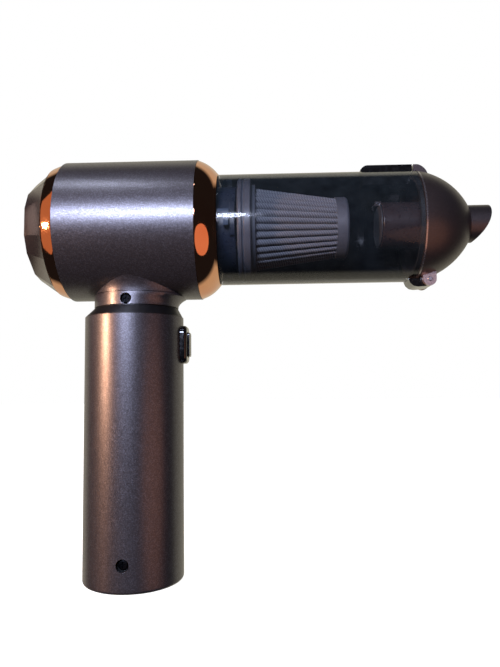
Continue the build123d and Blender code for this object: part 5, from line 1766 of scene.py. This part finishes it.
@dataclass(frozen=True)
class Studio:
    """Camera, lights, pale surroundings and floor."""

    target: Vector = Vector((0.04, -0.02, 0.125))

    def build(self) -> None:
        """Sets up the whole studio."""
        self.camera()
        self.world()
        self.floor()
        for light in (
            SoftLight("window_strip", -13, 18.5, 0.9, (0.36, 0.13), 10.5, "#d2ddff"),
            SoftLight("copper_lamp", -59, 5, 0.8, (0.05, 0.07), 6.0, "#ffc49a"),
            SoftLight("copper_wall", -59, 8, 0.85, (0.34, 1.3), 0.75, "#ffb283"),
            SoftLight("high_strip", -42, 63, 0.8, (0.16, 0.06), 0.9, "#dfe8ff"),
            SoftLight("near_panel", 52, -18, 0.345, (0.34, 0.3), 0.21, "#ffb08a", "ELLIPSE"),
            SoftLight("left_card", -93, 15, 0.8, (0.25, 0.22), 0.16, "#ffe6dc"),
        ):
            light.place(self.target)
        bpy.context.scene.view_settings.view_transform = "Standard"

    def camera(self) -> None:
        """A camera a little below the head and to the nozzle's side of the grip."""
        data = bpy.data.cameras.new("camera")
        data.sensor_width = 36
        data.lens = 31.617
        camera = bpy.data.objects.new("camera", data)
        bpy.context.scene.collection.objects.link(camera)
        camera.location = (0.06054, -0.27024, 0.08563)
        camera.rotation_euler = [math.radians(angle) for angle in (95.0602, 0.7313, 1.5463)]
        bpy.context.scene.camera = camera

    def world(self) -> None:
        """A pale backdrop to the eye; in reflections bright behind the object and dim in front."""
        world = bpy.data.worlds.new("studio")
        bpy.context.scene.world = world
        world.use_nodes = True
        tree = world.node_tree
        place = add_node(tree, "ShaderNodeTexCoord").outputs["Generated"]
        axes = add_node(tree, "ShaderNodeSeparateXYZ", links={"Vector": place})
        shade = add_node(tree, "ShaderNodeValToRGB", links={"Fac": add_node(
            tree, "ShaderNodeMapRange", {"From Min": -1.0, "From Max": 1.0},
            {"Value": axes.outputs["Y"]}).outputs["Result"]})
        elements = shade.color_ramp.elements
        elements[0].position, elements[0].color = 0.67, linear("#1f1f23")
        elements[1].position, elements[1].color = 0.75, linear("#cec8b5")
        paths = add_node(tree, "ShaderNodeLightPath")
        glow = add_node(tree, "ShaderNodeBackground", links={"Color": shade.outputs["Color"]})
        seen = add_node(tree, "ShaderNodeBackground", {"Color": linear("#ffffff"), "Strength": 1.0})
        both = add_node(tree, "ShaderNodeMixShader", links={
            0: paths.outputs["Is Camera Ray"], 1: glow.outputs[0], 2: seen.outputs[0]})
        tree.links.new(both.outputs[0], tree.nodes["World Output"].inputs["Surface"])

    def floor(self) -> None:
        """A wide pale floor under the grip's end, kept out of the object's reflections."""
        deselect()
        bpy.ops.mesh.primitive_circle_add(vertices=96, radius=3.0, fill_type="NGON",
                                          location=(0, 0, CAD_BOX[0][2] - 0.2 * MM))
        bpy.ops.object.transform_apply(location=True, rotation=True, scale=True)
        floor = bpy.context.object
        floor.name = "floor"
        paper = Recipe("pale_floor", Base_Color=linear("#f9f9f9"), Roughness=0.9,
                       Emission_Color=linear("#ffffff"), Emission_Strength=1.0)
        floor.data.materials.append(paper.material)
        floor.visible_glossy = False
        floor.visible_diffuse = False
        floor.visible_transmission = False


# ---------------------------------------------------------------- build

def main() -> None:
    """Builds every sub-assembly in order, then the studio."""
    logging.basicConfig(level=logging.INFO, format="%(name)s: %(message)s")
    for assembly in (Casing(), DustCup(), Filter(), LatchButton(), Nose(), Handle()):
        assembly.build()
        LOG.info("%s: %d pieces", type(assembly).__name__, len(assembly.pieces))
    Internals().dress()
    Studio().build()
    deselect()


if __name__ == "__main__":
    main()
